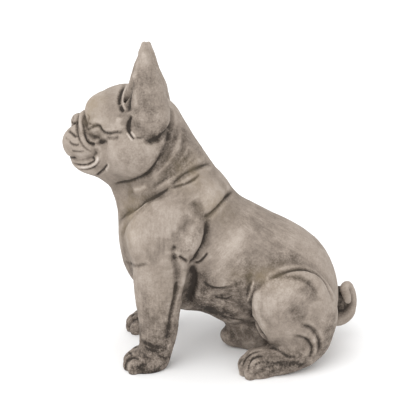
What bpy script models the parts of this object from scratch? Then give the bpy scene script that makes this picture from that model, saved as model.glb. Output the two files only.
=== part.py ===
"""A sitting bulldog garden statue, cast in one piece and standing on its feet.

The dog faces -X and its left side faces -Y. The origin is on the ground under the middle of its
bounding box. The figure is made as a sculptor makes one: masses of clay are laid on one another and
blended, hollows are pressed in, creases are drawn over the surface, and the soles are cut flat.
Places, lengths and radii of the figure are in hundredths of its height.
"""
import math

import bmesh
import bpy
import numpy as np
from mathutils import Euler, Matrix, Vector

HEIGHT = 0.45  # ear tips above the ground, in metres

GRAINS = (1.9, 1.0, 0.62)  # voxel sizes of the successive remeshings, from coarse to fine
PRESSES = 6  # how often the skin is pressed onto the masses after each remeshing
TRIANGLES = 9700  # what the finished solid may hold
SOLE_SNAP = GRAINS[-1] / 10  # a vertex nearer than this to the ground is laid on it before the cut

HEAD_PIVOT = (-20, 0, 68)
HEAD_TURN = (-7.5, 0, -2)  # the head is tilted and turned a little to the dog's right, in degrees

SIDE_EYE = (-17, -275, 135)  # the side view is drawn from here, a little from above
HEAD_PLANE, BODY_PLANE = -13.3, -20  # and its points (x, z) are given on one of these planes of y

STONE_COLOUR = (0.42, 0.37, 0.31, 1.0)
STONE_ROUGHNESS = 0.85

SIDES = (-1, 1)  # the dog's left, towards -Y, and its right
FAR_AWAY = 8.0  # the distance that is given to all that is further from the clay
STROKE_START = 235  # how far from the eye a stroke's rays begin, just short of the clay
STROKE_STEPS, STROKE_PACE = 60, 0.85  # how often and how boldly a stroke's points move on to the clay
STROKE_LOST = 0.5  # a point that stays further than this from the clay has missed it
FRONT_START = -60  # where the rays of the head's front view begin, in x
STROKE_REACH = 2.5  # how far a stroke is felt, in widths
STROKE_ENDS = 4  # a stroke fades over one part in so many of its length at each end


def smooth_path(points, steps=6):
    """Points along a Catmull-Rom curve through the given ones."""
    p = np.asarray(points, float)
    ends = np.vstack([2 * p[0] - p[1], p, 2 * p[-1] - p[-2]])
    t = np.arange(steps)[:, None] / steps
    out = []
    for a, b, c, d in zip(ends, ends[1:], ends[2:], ends[3:]):
        bend, twist = 2 * a - 5 * b + 4 * c - d, 3 * b - a - 3 * c + d
        out.append(b + ((c - a) * t + bend * t**2 + twist * t**3) / 2)
    return np.vstack([*out, p[-1:]])


def soft_min(a, b, blend):
    h = np.clip(0.5 + 0.5 * (b - a) / blend, 0, 1)
    return b + (a - b) * h - blend * h * (1 - h)


class Ball:
    """An ellipsoid of clay, turned about X, Y and Z by degrees."""

    def __init__(self, centre, radii, turn=(0, 0, 0)):
        self.middle, self.radii = np.array(centre, float), np.array(radii, float)
        self.turn = np.array(Euler([math.radians(a) for a in turn]).to_matrix())
        self.reach = self.radii.max()

    def distance(self, p):
        q = (p - self.middle) @ self.turn
        k0 = np.linalg.norm(q / self.radii, axis=1)
        k1 = np.linalg.norm(q / self.radii**2, axis=1)
        return k0 * (k0 - 1) / np.maximum(k1, 1e-9)

    def blanks(self):
        yield self.middle, self.turn, self.radii


class Limb:
    """A tapering roll of clay along a curve, as wide along Y as flat times its radii."""

    def __init__(self, points, radii, flat=1.0):
        self.path = smooth_path(points)
        self.radii = np.interp(np.linspace(0, 1, len(self.path)), np.linspace(0, 1, len(radii)), radii)
        self.flat = np.array([1, flat, 1])
        low, high = self.path.min(0), self.path.max(0)
        self.middle = (low + high) / 2
        self.reach = np.linalg.norm(high - low) / 2 + max(radii) * max(flat, 1)

    def distance(self, p):
        best = np.full(len(p), np.inf)
        q, path = p / self.flat, self.path / self.flat
        for a, b, ra, rb in zip(path, path[1:], self.radii, self.radii[1:]):
            t = np.clip((q - a) @ (b - a) / ((b - a) @ (b - a)), 0, 1)
            away = np.linalg.norm(q - a - t[:, None] * (b - a), axis=1)
            best = np.minimum(best, away - ra - t * (rb - ra))
        return best * min(self.flat[1], 1)

    def blanks(self):
        for centre, radius in zip(self.path, self.radii):
            yield centre, np.eye(3), radius * self.flat


class Frame:
    """A turn about a pivot, for masses that are laid on before the head is tilted."""

    def __init__(self, pivot=(0, 0, 0), turn=(0, 0, 0)):
        self.pivot = np.array(pivot, float)
        self.turn = np.array(Euler([math.radians(a) for a in turn]).to_matrix())

    def inward(self, p):
        return (p - self.pivot) @ self.turn + self.pivot

    def outward(self, p):
        return (p - self.pivot) @ self.turn.T + self.pivot


BODY_FRAME = Frame()
HEAD_FRAME = Frame(HEAD_PIVOT, HEAD_TURN)


class Clay:
    """Masses and hollows, in the order in which they are laid on, and the strokes drawn over them."""

    def __init__(self):
        self.frame = BODY_FRAME
        self.work = []
        self.drawn = []
        self.strokes = []

    def add(self, mass, blend=2.5):
        self.work.append((mass, self.frame, blend, True))

    def press(self, mass, blend=1.0):
        self.work.append((mass, self.frame, blend, False))

    def masses(self, p):
        d = np.full(len(p), FAR_AWAY)
        for mass, frame, blend, adds in self.work:
            gap = np.linalg.norm(p - frame.outward(mass.middle), axis=1) - mass.reach
            near = np.nonzero(gap < blend + FAR_AWAY)[0]
            if len(near):
                m = mass.distance(frame.inward(p[near]))
                d[near] = soft_min(d[near], m, blend) if adds else -soft_min(-d[near], m, blend)
        return d

    def field(self, p):
        """The distance of each point from the finished clay, negative inside it."""
        d = self.masses(p)
        for path, width, depth in self.strokes:
            reach = STROKE_REACH * width
            near = np.nonzero(((p > path.min(0) - reach) & (p < path.max(0) + reach)).all(1))[0]
            if len(near):
                away, share = self.along(p[near], path)
                end = np.clip(STROKE_ENDS * np.minimum(share, 1 - share), 0, 1)
                d[near] += depth * end * (2 - end) * np.exp(-((away / width) ** 2))
        return d

    @staticmethod
    def along(p, path):
        """Each point's distance from a path, and its share of the way along it."""
        best, share = np.full(len(p), np.inf), np.zeros(len(p))
        for i, (a, b) in enumerate(zip(path, path[1:])):
            t = np.clip((p - a) @ (b - a) / max((b - a) @ (b - a), 1e-9), 0, 1)
            away = np.linalg.norm(p - a - t[:, None] * (b - a), axis=1)
            closer = away < best
            best[closer] = away[closer]
            share[closer] = (i + t[closer]) / (len(path) - 1)
        return best, share

    def draw(self, points, width, depth, plane=BODY_PLANE, roll=0.0):
        """A crease of that depth along points (x, z) of the side view, or a ridge where it is negative.

        A roll of skin lies above it, roll times as high as it is deep, or below it where negative.
        """
        flat = smooth_path(points, 4)
        self.drawn.append((*self.side_rays(flat, plane), width, depth, self.frame))
        if roll:
            along = np.gradient(flat, axis=0)
            across = np.stack([-along[:, 1], along[:, 0]], 1) / np.linalg.norm(along, axis=1)[:, None]
            across *= np.sign(across[:, 1].sum()) * np.sign(roll)
            rays = self.side_rays(flat + across * 1.7 * width, plane)
            self.drawn.append((*rays, 1.4 * width, -depth * abs(roll), self.frame))

    def carve(self, points, width, depth):
        """A crease along points (y, z) of the front view of the head."""
        flat = smooth_path(points, 4)
        starts = self.frame.outward(np.column_stack([np.full(len(flat), FRONT_START), flat]))
        backwards = self.frame.outward(self.frame.pivot + [[1, 0, 0]]) - self.frame.pivot
        towards = np.repeat(backwards, len(flat), 0)
        self.drawn.append((starts, towards, width, depth, self.frame))

    @staticmethod
    def side_rays(flat, plane):
        eye = np.array(SIDE_EYE, float)
        towards = np.column_stack([flat[:, 0], np.full(len(flat), plane), flat[:, 1]]) - eye
        towards /= np.linalg.norm(towards, axis=1)[:, None]
        return eye + towards * STROKE_START, towards

    def settle(self):
        """Lays every drawn stroke on the surface of the masses, and its like on the other side."""
        starts = np.vstack([starts for starts, *_ in self.drawn])
        towards = np.vstack([towards for _, towards, *_ in self.drawn])
        gone = np.zeros(len(starts))
        for _ in range(STROKE_STEPS):
            gone += STROKE_PACE * self.masses(starts + towards * gone[:, None])
        hits = starts + towards * gone[:, None]
        landed = np.abs(self.masses(hits)) < STROKE_LOST
        at = 0
        for rays, _, width, depth, frame in self.drawn:
            kept = slice(at, at + len(rays))
            path = hits[kept][landed[kept]]
            at = kept.stop
            if len(path) > 1:
                mirrored = frame.outward(frame.inward(path) * (1, -1, 1))
                self.strokes += [(path, width, depth), (mirrored, width, depth)]


def torso(clay):
    clay.add(Ball((-12.5, 0, 41), (16, 17, 17.5), (0, 15, 0)))
    clay.add(Ball((-19.5, 0, 40), (10.4, 13, 15), (0, 4, 0)), 3)
    clay.add(Ball((-18.6, 0, 31), (9.6, 12, 11), (0, -12, 0)), 3)
    clay.add(Ball((-4.5, 0, 47), (10, 12, 12.4), (0, 32, 0)), 4)
    clay.add(Ball((3, 0, 33.5), (17, 17.5, 17.5), (0, 35, 0)), 5)
    clay.add(Ball((16.4, 0, 27), (18.2, 17.5, 17), (0, 40, 0)), 5)
    clay.add(Ball((26.6, 0, 18), (13.4, 18, 19.2), (0, -1, 0)), 5)
    clay.add(Ball((-1.5, 0, 25), (14.5, 13, 12), (0, 12, 0)), 4)
    clay.add(Ball((-9.6, 0, 22.4), (7.4, 9.6, 8.4)), 3)
    clay.add(Ball((7, 0, 19.5), (10, 12, 11)), 4)


def neck(clay):
    clay.add(Limb([(-21, 0, 72), (-17, 0, 63), (-11.6, 0, 52)], [12, 13, 14.6]), 3)
    clay.add(Limb([(-33.6, 0, 63.5), (-26.6, 0, 57.4), (-20.6, 0, 47)], [5, 6.2, 9]), 3)


def skull(clay):
    clay.add(Ball((-26.3, 0, 75.2), (12.6, 14, 11.2)), 2.5)
    clay.add(Ball((-29.3, 0, 64.5), (9, 11, 6.8), (0, -10, 0)), 3)
    for side in SIDES:
        clay.add(Ball((-32.6, 5.6 * side, 78.6), (6.1, 6, 5.6)), 1.5)
        clay.add(Ball((-23.5, 8.2 * side, 68), (9.5, 8.2, 9)), 3)


def muzzle(clay):
    clay.add(Ball((-37, 0, 69), (7.6, 9.4, 7)), 2)
    clay.add(Ball((-36.3, 0, 63), (7.6, 8.8, 4.4), (0, 8, 0)), 1.2)
    clay.add(Ball((-38.8, 0, 75.2), (2.6, 3.8, 2.9)), 1)
    clay.add(Ball((-41.2, 0, 74.9), (2.4, 4, 2.7), (0, -12, 0)), 0.7)
    for side in SIDES:
        clay.add(Ball((-41, 3.6 * side, 69), (4.9, 4.6, 5.2)), 1.8)
        clay.add(Ball((-37.8, 6.8 * side, 68.4), (5, 4.2, 4)), 1.4)
        fold = [(-39.4, 0.8 * side, 77.5), (-39.7, 3.6 * side, 76.9), (-39.5, 6.2 * side, 74.6),
                (-38.6, 8 * side, 72.2), (-37.2, 9.4 * side, 70.2), (-35.6, 10.2 * side, 69.2)]
        clay.add(Limb(fold, [1.0, 1.1, 1.1, 1.1, 1.2, 1.2]), 0.5)
        jowl = [(-35.2, 9.8 * side, 69.4), (-33.6, 10 * side, 67.8), (-33.4, 9.8 * side, 66),
                (-35, 9.2 * side, 64.2), (-37.6, 8 * side, 63.4)]
        clay.add(Limb(jowl, [1.2, 1.5, 1.6, 1.5, 1.2]), 1.0)
        clay.press(Ball((-43.4, 1.7 * side, 75), (1.1, 0.9, 0.8)), 0.3)


def eye(clay, side):
    clay.press(Ball((-36.4, 10.2 * side, 72.2), (1.8, 1.4, 1.3)), 1.6)
    clay.add(Ball((-34.5, 8.3 * side, 73.8), (2.8, 2.4, 2.1)), 1.2)
    lid = [(-37, 7.9 * side, 75.6), (-35, 9.9 * side, 76.4), (-32.6, 11.2 * side, 75.5)]
    clay.add(Limb(lid, [0.5, 0.8, 0.5]), 0.7)


def ear(clay, side):
    clay.add(Ball((-19.4, 11.6 * side, 77), (6.1, 4.4, 6.2)), 1.4)
    horn = [(-20.1, 10.6 * side, 79), (-20.5, 10.9 * side, 84), (-20.9, 11.4 * side, 89.5),
            (-20.5, 11.9 * side, 94), (-20.4, 12.2 * side, 98)]
    clay.add(Limb(horn, [6.6, 6.0, 4.1, 2.4, 0.9], 0.85), 1.2)
    cup = [(-26.4, 11 * side, 80.4), (-26, 11.4 * side, 85), (-24.6, 11.8 * side, 90),
           (-23, 12.2 * side, 94.5)]
    clay.press(Limb(cup, [0.9, 2.1, 1.8, 0.7]), 0.6)


def foreleg(clay, side):
    clay.add(Ball((-15.5, 11 * side, 44), (11.5, 8.2, 13), (0, 25, 0)), 2.5)
    clay.add(Ball((-6.5, 8.5 * side, 50), (8.5, 6.5, 10), (0, 35, 0)), 2.5)
    bone = [(-13.5, 11.4 * side, 44), (-16, 12.6 * side, 36), (-17.5, 13.6 * side, 27),
            (-17.9, 14 * side, 19), (-18.1, 14 * side, 12), (-19.3, 14 * side, 4.6)]
    clay.add(Limb(bone, [8.6, 9.4, 7.9, 6.5, 5.9, 5.1], 0.78), 2.5)
    clay.add(Ball((-8.6, 14.4 * side, 42.6), (4.6, 4, 7), (0, 12, 0)), 2)
    clay.add(Ball((-11.2, 13.4 * side, 32.6), (3, 3.6, 6.4), (0, -12, 0)), 1.6)
    clay.add(Ball((-20.6, 14.4 * side, 30.5), (3.4, 4.6, 8), (0, -6, 0)), 2)
    clay.add(Ball((-21, 14 * side, 2.2), (5.6, 5.2, 5)), 1.5)
    paw(clay, -28, 14 * side, 3.6)
    armpit = [(-7.4, 18.4 * side, 37), (-7.3, 16.8 * side, 31), (-8.4, 15 * side, 24)]
    clay.press(Limb(armpit, [0.8, 1.9, 2.2]), 1.2)


def hind_leg(clay, side):
    clay.add(Ball((24, 15.4 * side, 18.6), (13, 7.5, 15.5), (0, -22, 0)), 1.5)
    clay.add(Ball((18.6, 15.8 * side, 24.2), (9.2, 6.6, 9), (0, -25, 0)), 2)
    clay.add(Ball((28.4, 15.4 * side, 9.4), (7, 5.6, 8)), 2)
    heel_to_toes = [(25.8, 17 * side, 6.4), (19.5, 18.8 * side, 4), (12.5, 19.4 * side, 3)]
    clay.add(Limb(heel_to_toes, [6, 5, 4.4], 1.05), 1.5)
    paw(clay, 7.6, 19.4 * side, 4.3)


def paw(clay, front, middle, knuckle):
    """Four toes side by side, the inner two further forward, on one pad."""
    clay.add(Ball((front + 4.6, middle, 0.3 * knuckle), (5.4, 5.2, 0.95 * knuckle)), 1.5)
    for set_back, y in ((1.5, -3.9), (0, -1.35), (0, 1.35), (1.5, 3.9)):
        x = front + set_back
        toe = [(x + 5.5, middle + 0.75 * y, knuckle), (x + 2.4, middle + y, knuckle),
               (x + 0.5, middle + y, 0.55 * knuckle), (x + 0.6, middle + y, 0)]
        clay.add(Limb(toe, [1.4, 1.7, 1.75, 1.6]), 0.6)


def groin(clay):
    clay.add(Ball((12.6, 0, 8), (8.8, 7.4, 9)), 3)
    clay.add(Ball((6.3, 0, 2.9), (4.3, 4.6, 3.1), (0, 14, 0)), 1.8)
    clay.add(Ball((18, 0, 7), (10, 10, 9)), 4)


def tail(clay):
    curl = [(36, 0, 9.5), (41, 0, 8.9), (44, 0.3, 10.4), (45.1, 0.7, 13.6), (44.8, 0.7, 17), (43.4, 0, 19.9),
            (42, -1.8, 19.6), (42.6, -3, 17.8), (43, -3.2, 16.2)]
    clay.add(Ball((40.6, 0.3, 14.4), (3.4, 1.5, 5.4)), 1)
    clay.add(Limb(curl, [3.4, 2.8, 2.2, 1.7, 1.6, 1.6, 1.5, 1.4, 1.1]), 0.8)


def face_creases(clay):
    brow = [(-37.6, 75.9), (-36.2, 76.5), (-34.9, 77), (-33.4, 75.6), (-30.8, 74.7), (-26.9, 74.7)]
    clay.draw(brow, 0.8, 0.9, HEAD_PLANE, roll=0.25)
    clay.draw([(-37.8, 73.2), (-36.4, 71.8), (-34.8, 71.8), (-33, 72.3)], 0.7, 0.6, HEAD_PLANE)
    behind_fold = [(-38.4, 79.4), (-38.6, 77.4), (-38.1, 74.4), (-37.4, 72.6), (-36.4, 71.2), (-35.4, 70.4)]
    clay.draw(behind_fold, 0.7, 0.8, HEAD_PLANE)
    before_fold = [(-40.2, 78.2), (-40.5, 75.8), (-40.2, 73.6), (-39.2, 71.4), (-37.9, 69.9), (-36.4, 69.2)]
    clay.draw(before_fold, 0.6, 0.6, HEAD_PLANE)
    clay.draw([(-43.6, 76.1), (-42.6, 75.3), (-41.6, 74.4), (-40.6, 73.6)], 0.6, 0.7, HEAD_PLANE)
    clay.draw([(-43, 72.4), (-42, 71.6), (-40.4, 71.4)], 0.6, 0.45, HEAD_PLANE)
    clay.draw([(-42.4, 69.6), (-40.6, 69.2), (-38.2, 69.6)], 0.6, 0.45, HEAD_PLANE)


def mouth_creases(clay):
    between_lips = [(-43, 66.6), (-41.6, 65.6), (-40.2, 65.2), (-38.6, 65.2), (-37.2, 65.6), (-36.2, 66.3),
                    (-36, 67.2)]
    clay.draw(between_lips, 0.6, 0.8, HEAD_PLANE)
    under_lip = [(-41.4, 64.2), (-39.4, 63.8), (-37.4, 64), (-35.6, 64.8), (-34.6, 66), (-34.3, 67.4)]
    clay.draw(under_lip, 0.6, 0.5, HEAD_PLANE)
    clay.draw([(-36.6, 61.6), (-35.2, 62.1), (-34, 63.1), (-32.9, 64.3), (-31.9, 65.6)], 0.6, 0.7, HEAD_PLANE)
    clay.carve([(0, 73), (0, 70.6), (0, 67.6)], 0.7, 0.3)
    clay.carve([(0, 66.2), (1.6, 65.6), (3.6, 64.8), (5.6, 64.6), (7.4, 65)], 0.6, 0.5)


def ear_creases(clay):
    clay.draw([(-27.4, 87), (-28, 85), (-28, 83.2), (-27.6, 81.8), (-26.9, 80.8)], 0.8, 0.8, HEAD_PLANE)
    clay.draw([(-24, 91), (-24.9, 87.6), (-25.5, 85), (-25.7, 82.6), (-25.3, 80.8)], 1.0, 0.8, HEAD_PLANE)
    clay.draw([(-24.8, 80), (-25.5, 78), (-25.7, 76), (-25.2, 74.6)], 0.8, 0.8, HEAD_PLANE)
    clay.draw([(-21.5, 72.7), (-19.1, 72.4), (-16.8, 73.4), (-14.6, 75.6), (-13.6, 78)], 1.2, 0.9, HEAD_PLANE)


def cheek_creases(clay):
    cheek = [(-13.4, 82), (-13.3, 79), (-13.7, 75), (-14.3, 71.6), (-15.4, 69.2), (-16.8, 66.6),
             (-18.3, 64.3), (-20.4, 62.2), (-23, 61), (-27, 60.2), (-30.8, 59.2)]
    clay.draw(cheek, 1.3, 1.1, HEAD_PLANE, roll=0.2)


def neck_folds(clay):
    clay.draw([(-11.6, 77), (-12, 73.6), (-13.2, 70.2), (-14.4, 67.6), (-16.4, 64.8)], 1.0, 0.5, HEAD_PLANE)
    clay.draw([(-9.8, 74), (-10, 70), (-11.8, 66.4), (-14.4, 63.2), (-17.6, 60.6)], 1.0, 0.5, HEAD_PLANE)
    clay.draw([(-7.6, 69.6), (-9.2, 66.6), (-12, 63.6), (-15.2, 61), (-19.4, 58.4)], 1.0, 0.5, HEAD_PLANE)
    nape = [(-1.8, 65.4), (-4.2, 64.7), (-7, 63.4), (-9.5, 62.1), (-11.6, 60.4), (-14.2, 57.9)]
    clay.draw(nape, 1.1, 0.9, HEAD_PLANE, roll=0.2)
    clay.draw([(-5.1, 61.9), (-6.8, 60.5), (-9.1, 59.2), (-11.4, 58.5), (-14, 57.7)], 0.8, 0.6, HEAD_PLANE)
    collar = [(-13.6, 58.2), (-16.3, 56.5), (-19.5, 55), (-21.5, 54.2), (-24.3, 52), (-27.1, 50.3),
              (-29.5, 47.6)]
    clay.draw(collar, 1.3, 1.0, HEAD_PLANE, roll=0.25)


def shoulder_creases(clay):
    blade = [(4.8, 59.2), (2.8, 57.4), (0.9, 54.9), (-0.9, 53), (-2.8, 51.3), (-4, 50.7)]
    clay.draw(blade, 1.0, 0.9, roll=0.3)
    clay.draw([(-7.6, 56), (-6.2, 54), (-4.6, 51.8), (-3.4, 50.4)], 1.5, 0.6)
    clay.draw([(-8, 51), (-10.4, 47.4), (-12.4, 43.6), (-12.8, 40)], 2.2, 0.55)
    upper_arm = [(-3.3, 50.4), (-3.3, 47.8), (-3.5, 45.4), (-4.2, 42.7), (-5.3, 40.5), (-6.7, 38.1),
                 (-8.7, 36.7)]
    clay.draw(upper_arm, 1.2, 1.0)
    clay.draw([(-3, 40), (-4, 38.6), (-5.5, 37), (-7.2, 36.5)], 0.7, 0.5, roll=0.4)
    clay.draw([(-11.6, 39), (-10.4, 38), (-9, 36.9)], 0.8, 0.5)
    clay.draw([(-20.8, 55), (-23.6, 52.8), (-26, 50.4), (-27.4, 48), (-28.2, 45)], 1.1, 0.4)
    clay.draw([(-16, 45), (-16.7, 41.4), (-18, 39), (-20.4, 37.2)], 1.6, 0.35)


def foreleg_creases(clay):
    clay.draw([(-13.4, 40), (-12.7, 37), (-12.2, 34), (-12.2, 30), (-12.8, 26)], 1.2, 0.6)
    groove = [(-12, 31), (-12.4, 28), (-13.2, 24.6), (-14, 21), (-14.7, 17), (-15.4, 12.8), (-16.2, 9)]
    clay.draw(groove, 0.9, 0.7)
    clay.draw([(-7.9, 36), (-7, 32.6), (-7.4, 29.6), (-8.4, 26), (-9.4, 21)], 1.1, 0.8)


def belly_creases(clay):
    clay.draw([(-4.6, 31), (-3.3, 29.6), (-1.6, 28.8), (1, 28.5), (4.6, 29)], 0.8, 0.4, roll=0.4)
    clay.draw([(4.6, 29), (8, 30.6), (10, 33)], 1.2, 0.3)


def thigh_creases(clay):
    outer = [(14.8, 30.9), (17, 31.9), (19.2, 33), (21.9, 33.9), (25, 34.2), (28, 33.5), (30.4, 32),
             (32.5, 29.6), (34, 26.5), (35.1, 23)]
    clay.draw(outer, 1.1, 0.9, roll=-0.3)
    inner = [(17.6, 31.1), (20.3, 31.5), (23.4, 31.3), (26, 30.3), (28.3, 28.4), (29.8, 25.8)]
    clay.draw(inner, 0.9, 0.4, roll=-0.3)
    front = [(14.8, 30.8), (12.4, 29.3), (10.2, 27.2), (9.4, 23.8), (9.9, 20.2), (11.3, 16.8), (12.8, 13.9),
             (14.6, 11), (14.6, 9)]
    clay.draw(front, 1.1, 0.8)


def hock_creases(clay):
    clay.draw([(25, 15.9), (27.7, 15.1), (29.7, 13.2), (31, 10.6), (31.2, 8), (30.6, 5)], 0.8, 0.5, roll=0.4)
    inner = [(23.2, 12.2), (25.6, 11.7), (27.6, 10.6), (28.8, 8.6), (28.9, 6.4), (28, 4.6)]
    clay.draw(inner, 0.8, 0.4, roll=0.4)
    clay.draw([(15.4, 8.4), (17.6, 8), (19.6, 6.8), (21.4, 5.5), (24.2, 5)], 0.7, 0.5, roll=-0.3)


def toe_creases(clay):
    clay.draw([(7.4, 1.2), (7.9, 3.6), (9.1, 5.6), (11, 6.9), (13.8, 7.5)], 0.6, 0.5)
    clay.draw([(9.2, 0.4), (9.6, 2.6), (10.4, 4.5), (12, 5.4), (14.6, 5.9)], 0.6, 0.5)
    fore_toe = [(-28.4, 1.6), (-28.4, 3.2), (-28, 4.6), (-27.2, 5.6), (-26, 6), (-24.8, 5.8), (-23.8, 5)]
    clay.draw(fore_toe, 0.6, 0.5)


def modelled():
    clay = Clay()
    torso(clay)
    neck(clay)
    groin(clay)
    for side in SIDES:
        hind_leg(clay, side)
        foreleg(clay, side)
    tail(clay)
    clay.frame = HEAD_FRAME
    skull(clay)
    muzzle(clay)
    for side in SIDES:
        eye(clay, side)
        ear(clay, side)
    for crease in (face_creases, mouth_creases, ear_creases, cheek_creases):
        crease(clay)
    clay.frame = BODY_FRAME
    for crease in (neck_folds, shoulder_creases, foreleg_creases, belly_creases, thigh_creases, hock_creases,
                   toe_creases):
        crease(clay)
    clay.settle()
    return clay


def blank_mesh(clay):
    """The masses as plain balls, to be fused by the first remeshing."""
    bm = bmesh.new()
    for mass, frame, _, adds in clay.work:
        if not adds:
            continue
        for centre, turn, radii in mass.blanks():
            place = (Matrix.Translation(Vector(frame.outward(centre))) @ Matrix(frame.turn @ turn).to_4x4()
                     @ Matrix.Diagonal((*radii, 1)))
            bmesh.ops.create_icosphere(bm, subdivisions=2, radius=1, matrix=place)
    mesh = bpy.data.meshes.new("clay")
    bm.to_mesh(mesh)
    bm.free()
    return mesh


def with_modifier(mesh, kind, **settings):
    """The mesh as one modifier leaves it."""
    blank = bpy.data.objects.new("blank", mesh)
    bpy.context.scene.collection.objects.link(blank)
    modifier = blank.modifiers.new(kind.lower(), kind)
    for name, value in settings.items():
        setattr(modifier, name, value)
    made = bpy.data.meshes.new_from_object(blank.evaluated_get(bpy.context.evaluated_depsgraph_get()))
    bpy.data.objects.remove(blank)
    return made


def read(data, name, count, size):
    out = np.empty(count * size, np.float32)
    data.foreach_get(name, out)
    return out.reshape(-1, size).astype(float)


def coordinates(mesh):
    return read(mesh.vertices, "co", len(mesh.vertices), 3)


def moved(mesh, co):
    mesh.vertices.foreach_set("co", co.astype(np.float32).ravel())
    mesh.update()


def evened(mesh, co):
    """Each vertex moved half way to the middle of its neighbours."""
    edges = np.empty(len(mesh.edges) * 2, np.int32)
    mesh.edges.foreach_get("vertices", edges)
    a, b = edges.reshape(-1, 2).T
    count = np.bincount(np.concatenate([a, b]), minlength=len(co))[:, None]
    total = [np.bincount(a, co[b, k], len(co)) + np.bincount(b, co[a, k], len(co)) for k in range(3)]
    return (co + np.stack(total, 1) / count) / 2


def pressed(mesh, clay, grain):
    """The skin moved along its normals onto the clay, and evened out in between."""
    for press in range(PRESSES):
        co = coordinates(mesh)
        if press < PRESSES - 2:
            co = evened(mesh, co)
            moved(mesh, co)
        step = np.clip(clay.field(co), -2 * grain, 2 * grain)
        moved(mesh, co - read(mesh.vertex_normals, "vector", len(co), 3) * step[:, None])


def sculpted(clay, grains=GRAINS):
    mesh = blank_mesh(clay)
    for grain in grains:
        mesh = with_modifier(mesh, "REMESH", mode="VOXEL", voxel_size=grain)
        pressed(mesh, clay, grain)
    return mesh


def thinned(mesh):
    """The skin in as few triangles as the solid may hold."""
    mesh.calc_loop_triangles()
    share = TRIANGLES / len(mesh.loop_triangles)
    return with_modifier(mesh, "DECIMATE", ratio=share, use_collapse_triangulate=True)


def cut_flat(mesh):
    """Shaves off what lies below the ground and closes the soles."""
    bm = bmesh.new()
    bm.from_mesh(mesh)
    for vert in bm.verts:
        if abs(vert.co.z) < SOLE_SNAP:
            vert.co.z = 0
    whole = bm.verts[:] + bm.edges[:] + bm.faces[:]
    cut = bmesh.ops.bisect_plane(bm, geom=whole, plane_co=(0, 0, 0), plane_no=(0, 0, 1), clear_inner=True)
    rims = [e for e in cut["geom_cut"] if isinstance(e, bmesh.types.BMEdge)]
    bmesh.ops.edgeloop_fill(bm, edges=rims)
    bmesh.ops.triangulate(bm, faces=bm.faces[:])
    bmesh.ops.recalc_face_normals(bm, faces=bm.faces[:])
    bm.to_mesh(mesh)
    bm.free()


def brought_to_size(mesh):
    """The figure at its height, with the middle of its box over the origin."""
    co = coordinates(mesh)
    low, high = co.min(0), co.max(0)
    middle = (low + high) / 2
    moved(mesh, (co - (middle[0], middle[1], low[2])) * HEIGHT / (high[2] - low[2]))


def stone():
    material = bpy.data.materials.new("cast stone")
    material.use_nodes = True
    shader = material.node_tree.nodes["Principled BSDF"]
    shader.inputs["Base Color"].default_value = STONE_COLOUR
    shader.inputs["Roughness"].default_value = STONE_ROUGHNESS
    shader.inputs["Metallic"].default_value = 0.0
    return material


def main():
    for old in list(bpy.data.objects):
        bpy.data.objects.remove(old)
    mesh = thinned(sculpted(modelled()))
    cut_flat(mesh)
    brought_to_size(mesh)
    mesh.name = "bulldog_statue"
    mesh.materials.append(stone())
    mesh.shade_smooth()
    collection = bpy.data.collections.new("bulldog statue")
    bpy.context.scene.collection.children.link(collection)
    collection.objects.link(bpy.data.objects.new("bulldog_statue", mesh))


if __name__ == "__main__":
    main()
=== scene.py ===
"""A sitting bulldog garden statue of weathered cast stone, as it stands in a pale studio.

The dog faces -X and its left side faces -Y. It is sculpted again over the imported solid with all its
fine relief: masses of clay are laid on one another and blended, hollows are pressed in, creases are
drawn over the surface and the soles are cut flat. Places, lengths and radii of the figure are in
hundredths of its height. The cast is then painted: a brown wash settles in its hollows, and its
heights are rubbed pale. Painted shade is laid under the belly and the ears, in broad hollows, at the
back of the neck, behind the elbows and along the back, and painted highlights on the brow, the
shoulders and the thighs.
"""
import math

import bmesh
import bpy
import numpy as np
from mathutils import Euler, Matrix, Vector, noise


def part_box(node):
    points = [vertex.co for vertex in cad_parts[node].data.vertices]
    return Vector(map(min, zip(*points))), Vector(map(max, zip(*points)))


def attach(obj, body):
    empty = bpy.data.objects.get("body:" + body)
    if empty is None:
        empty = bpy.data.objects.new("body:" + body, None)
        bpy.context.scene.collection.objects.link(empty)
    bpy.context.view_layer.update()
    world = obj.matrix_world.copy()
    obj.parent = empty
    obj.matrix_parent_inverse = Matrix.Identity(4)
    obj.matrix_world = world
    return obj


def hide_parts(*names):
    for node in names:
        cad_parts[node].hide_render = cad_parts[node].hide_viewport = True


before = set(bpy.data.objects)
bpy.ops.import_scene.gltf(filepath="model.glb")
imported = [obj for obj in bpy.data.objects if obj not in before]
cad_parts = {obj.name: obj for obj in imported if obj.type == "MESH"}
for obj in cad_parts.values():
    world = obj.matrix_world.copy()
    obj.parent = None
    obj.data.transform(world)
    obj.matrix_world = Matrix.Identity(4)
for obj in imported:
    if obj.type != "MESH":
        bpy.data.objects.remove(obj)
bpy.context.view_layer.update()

# The camera, as the photograph was taken
CAMERA_AIM = (-0.0108, 0.0, 0.2119)
CAMERA_AWAY = 1.3
CAMERA_AZIMUTH, CAMERA_ELEVATION = -3.0, 17.8
CAMERA_LENS, CAMERA_SENSOR = 80.0, 36.0  # in millimetres

# The studio
WORLD_LIGHT = 1.15
KEY_LIGHT, KEY_SOFTNESS = 1.25, 50
KEY_AZIMUTH, KEY_ELEVATION, KEY_AWAY = -42, 52, 3
FLOOR_SIZE, FLOOR_CLEAR = 30.0, 0.0005
PALE = (0.9, 0.9, 0.9, 1.0)

# The clay
GRAINS = ((1.9, 6), (1.0, 5), (0.55, 4), (0.31, 3))  # voxel sizes of the remeshings, and presses at each
PRESS_LIMIT = 2  # how far one press may move the skin, in voxels
ROUGH_PRESSES = 2  # the last presses at each voxel size, before which the skin isn't evened out
TRIANGLES = 194000  # how many the skin is thinned to; cutting the soles flat takes some more away
SOLE_SNAP = 0.04  # a vertex nearer than this to the ground is laid on it before the cut

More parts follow.
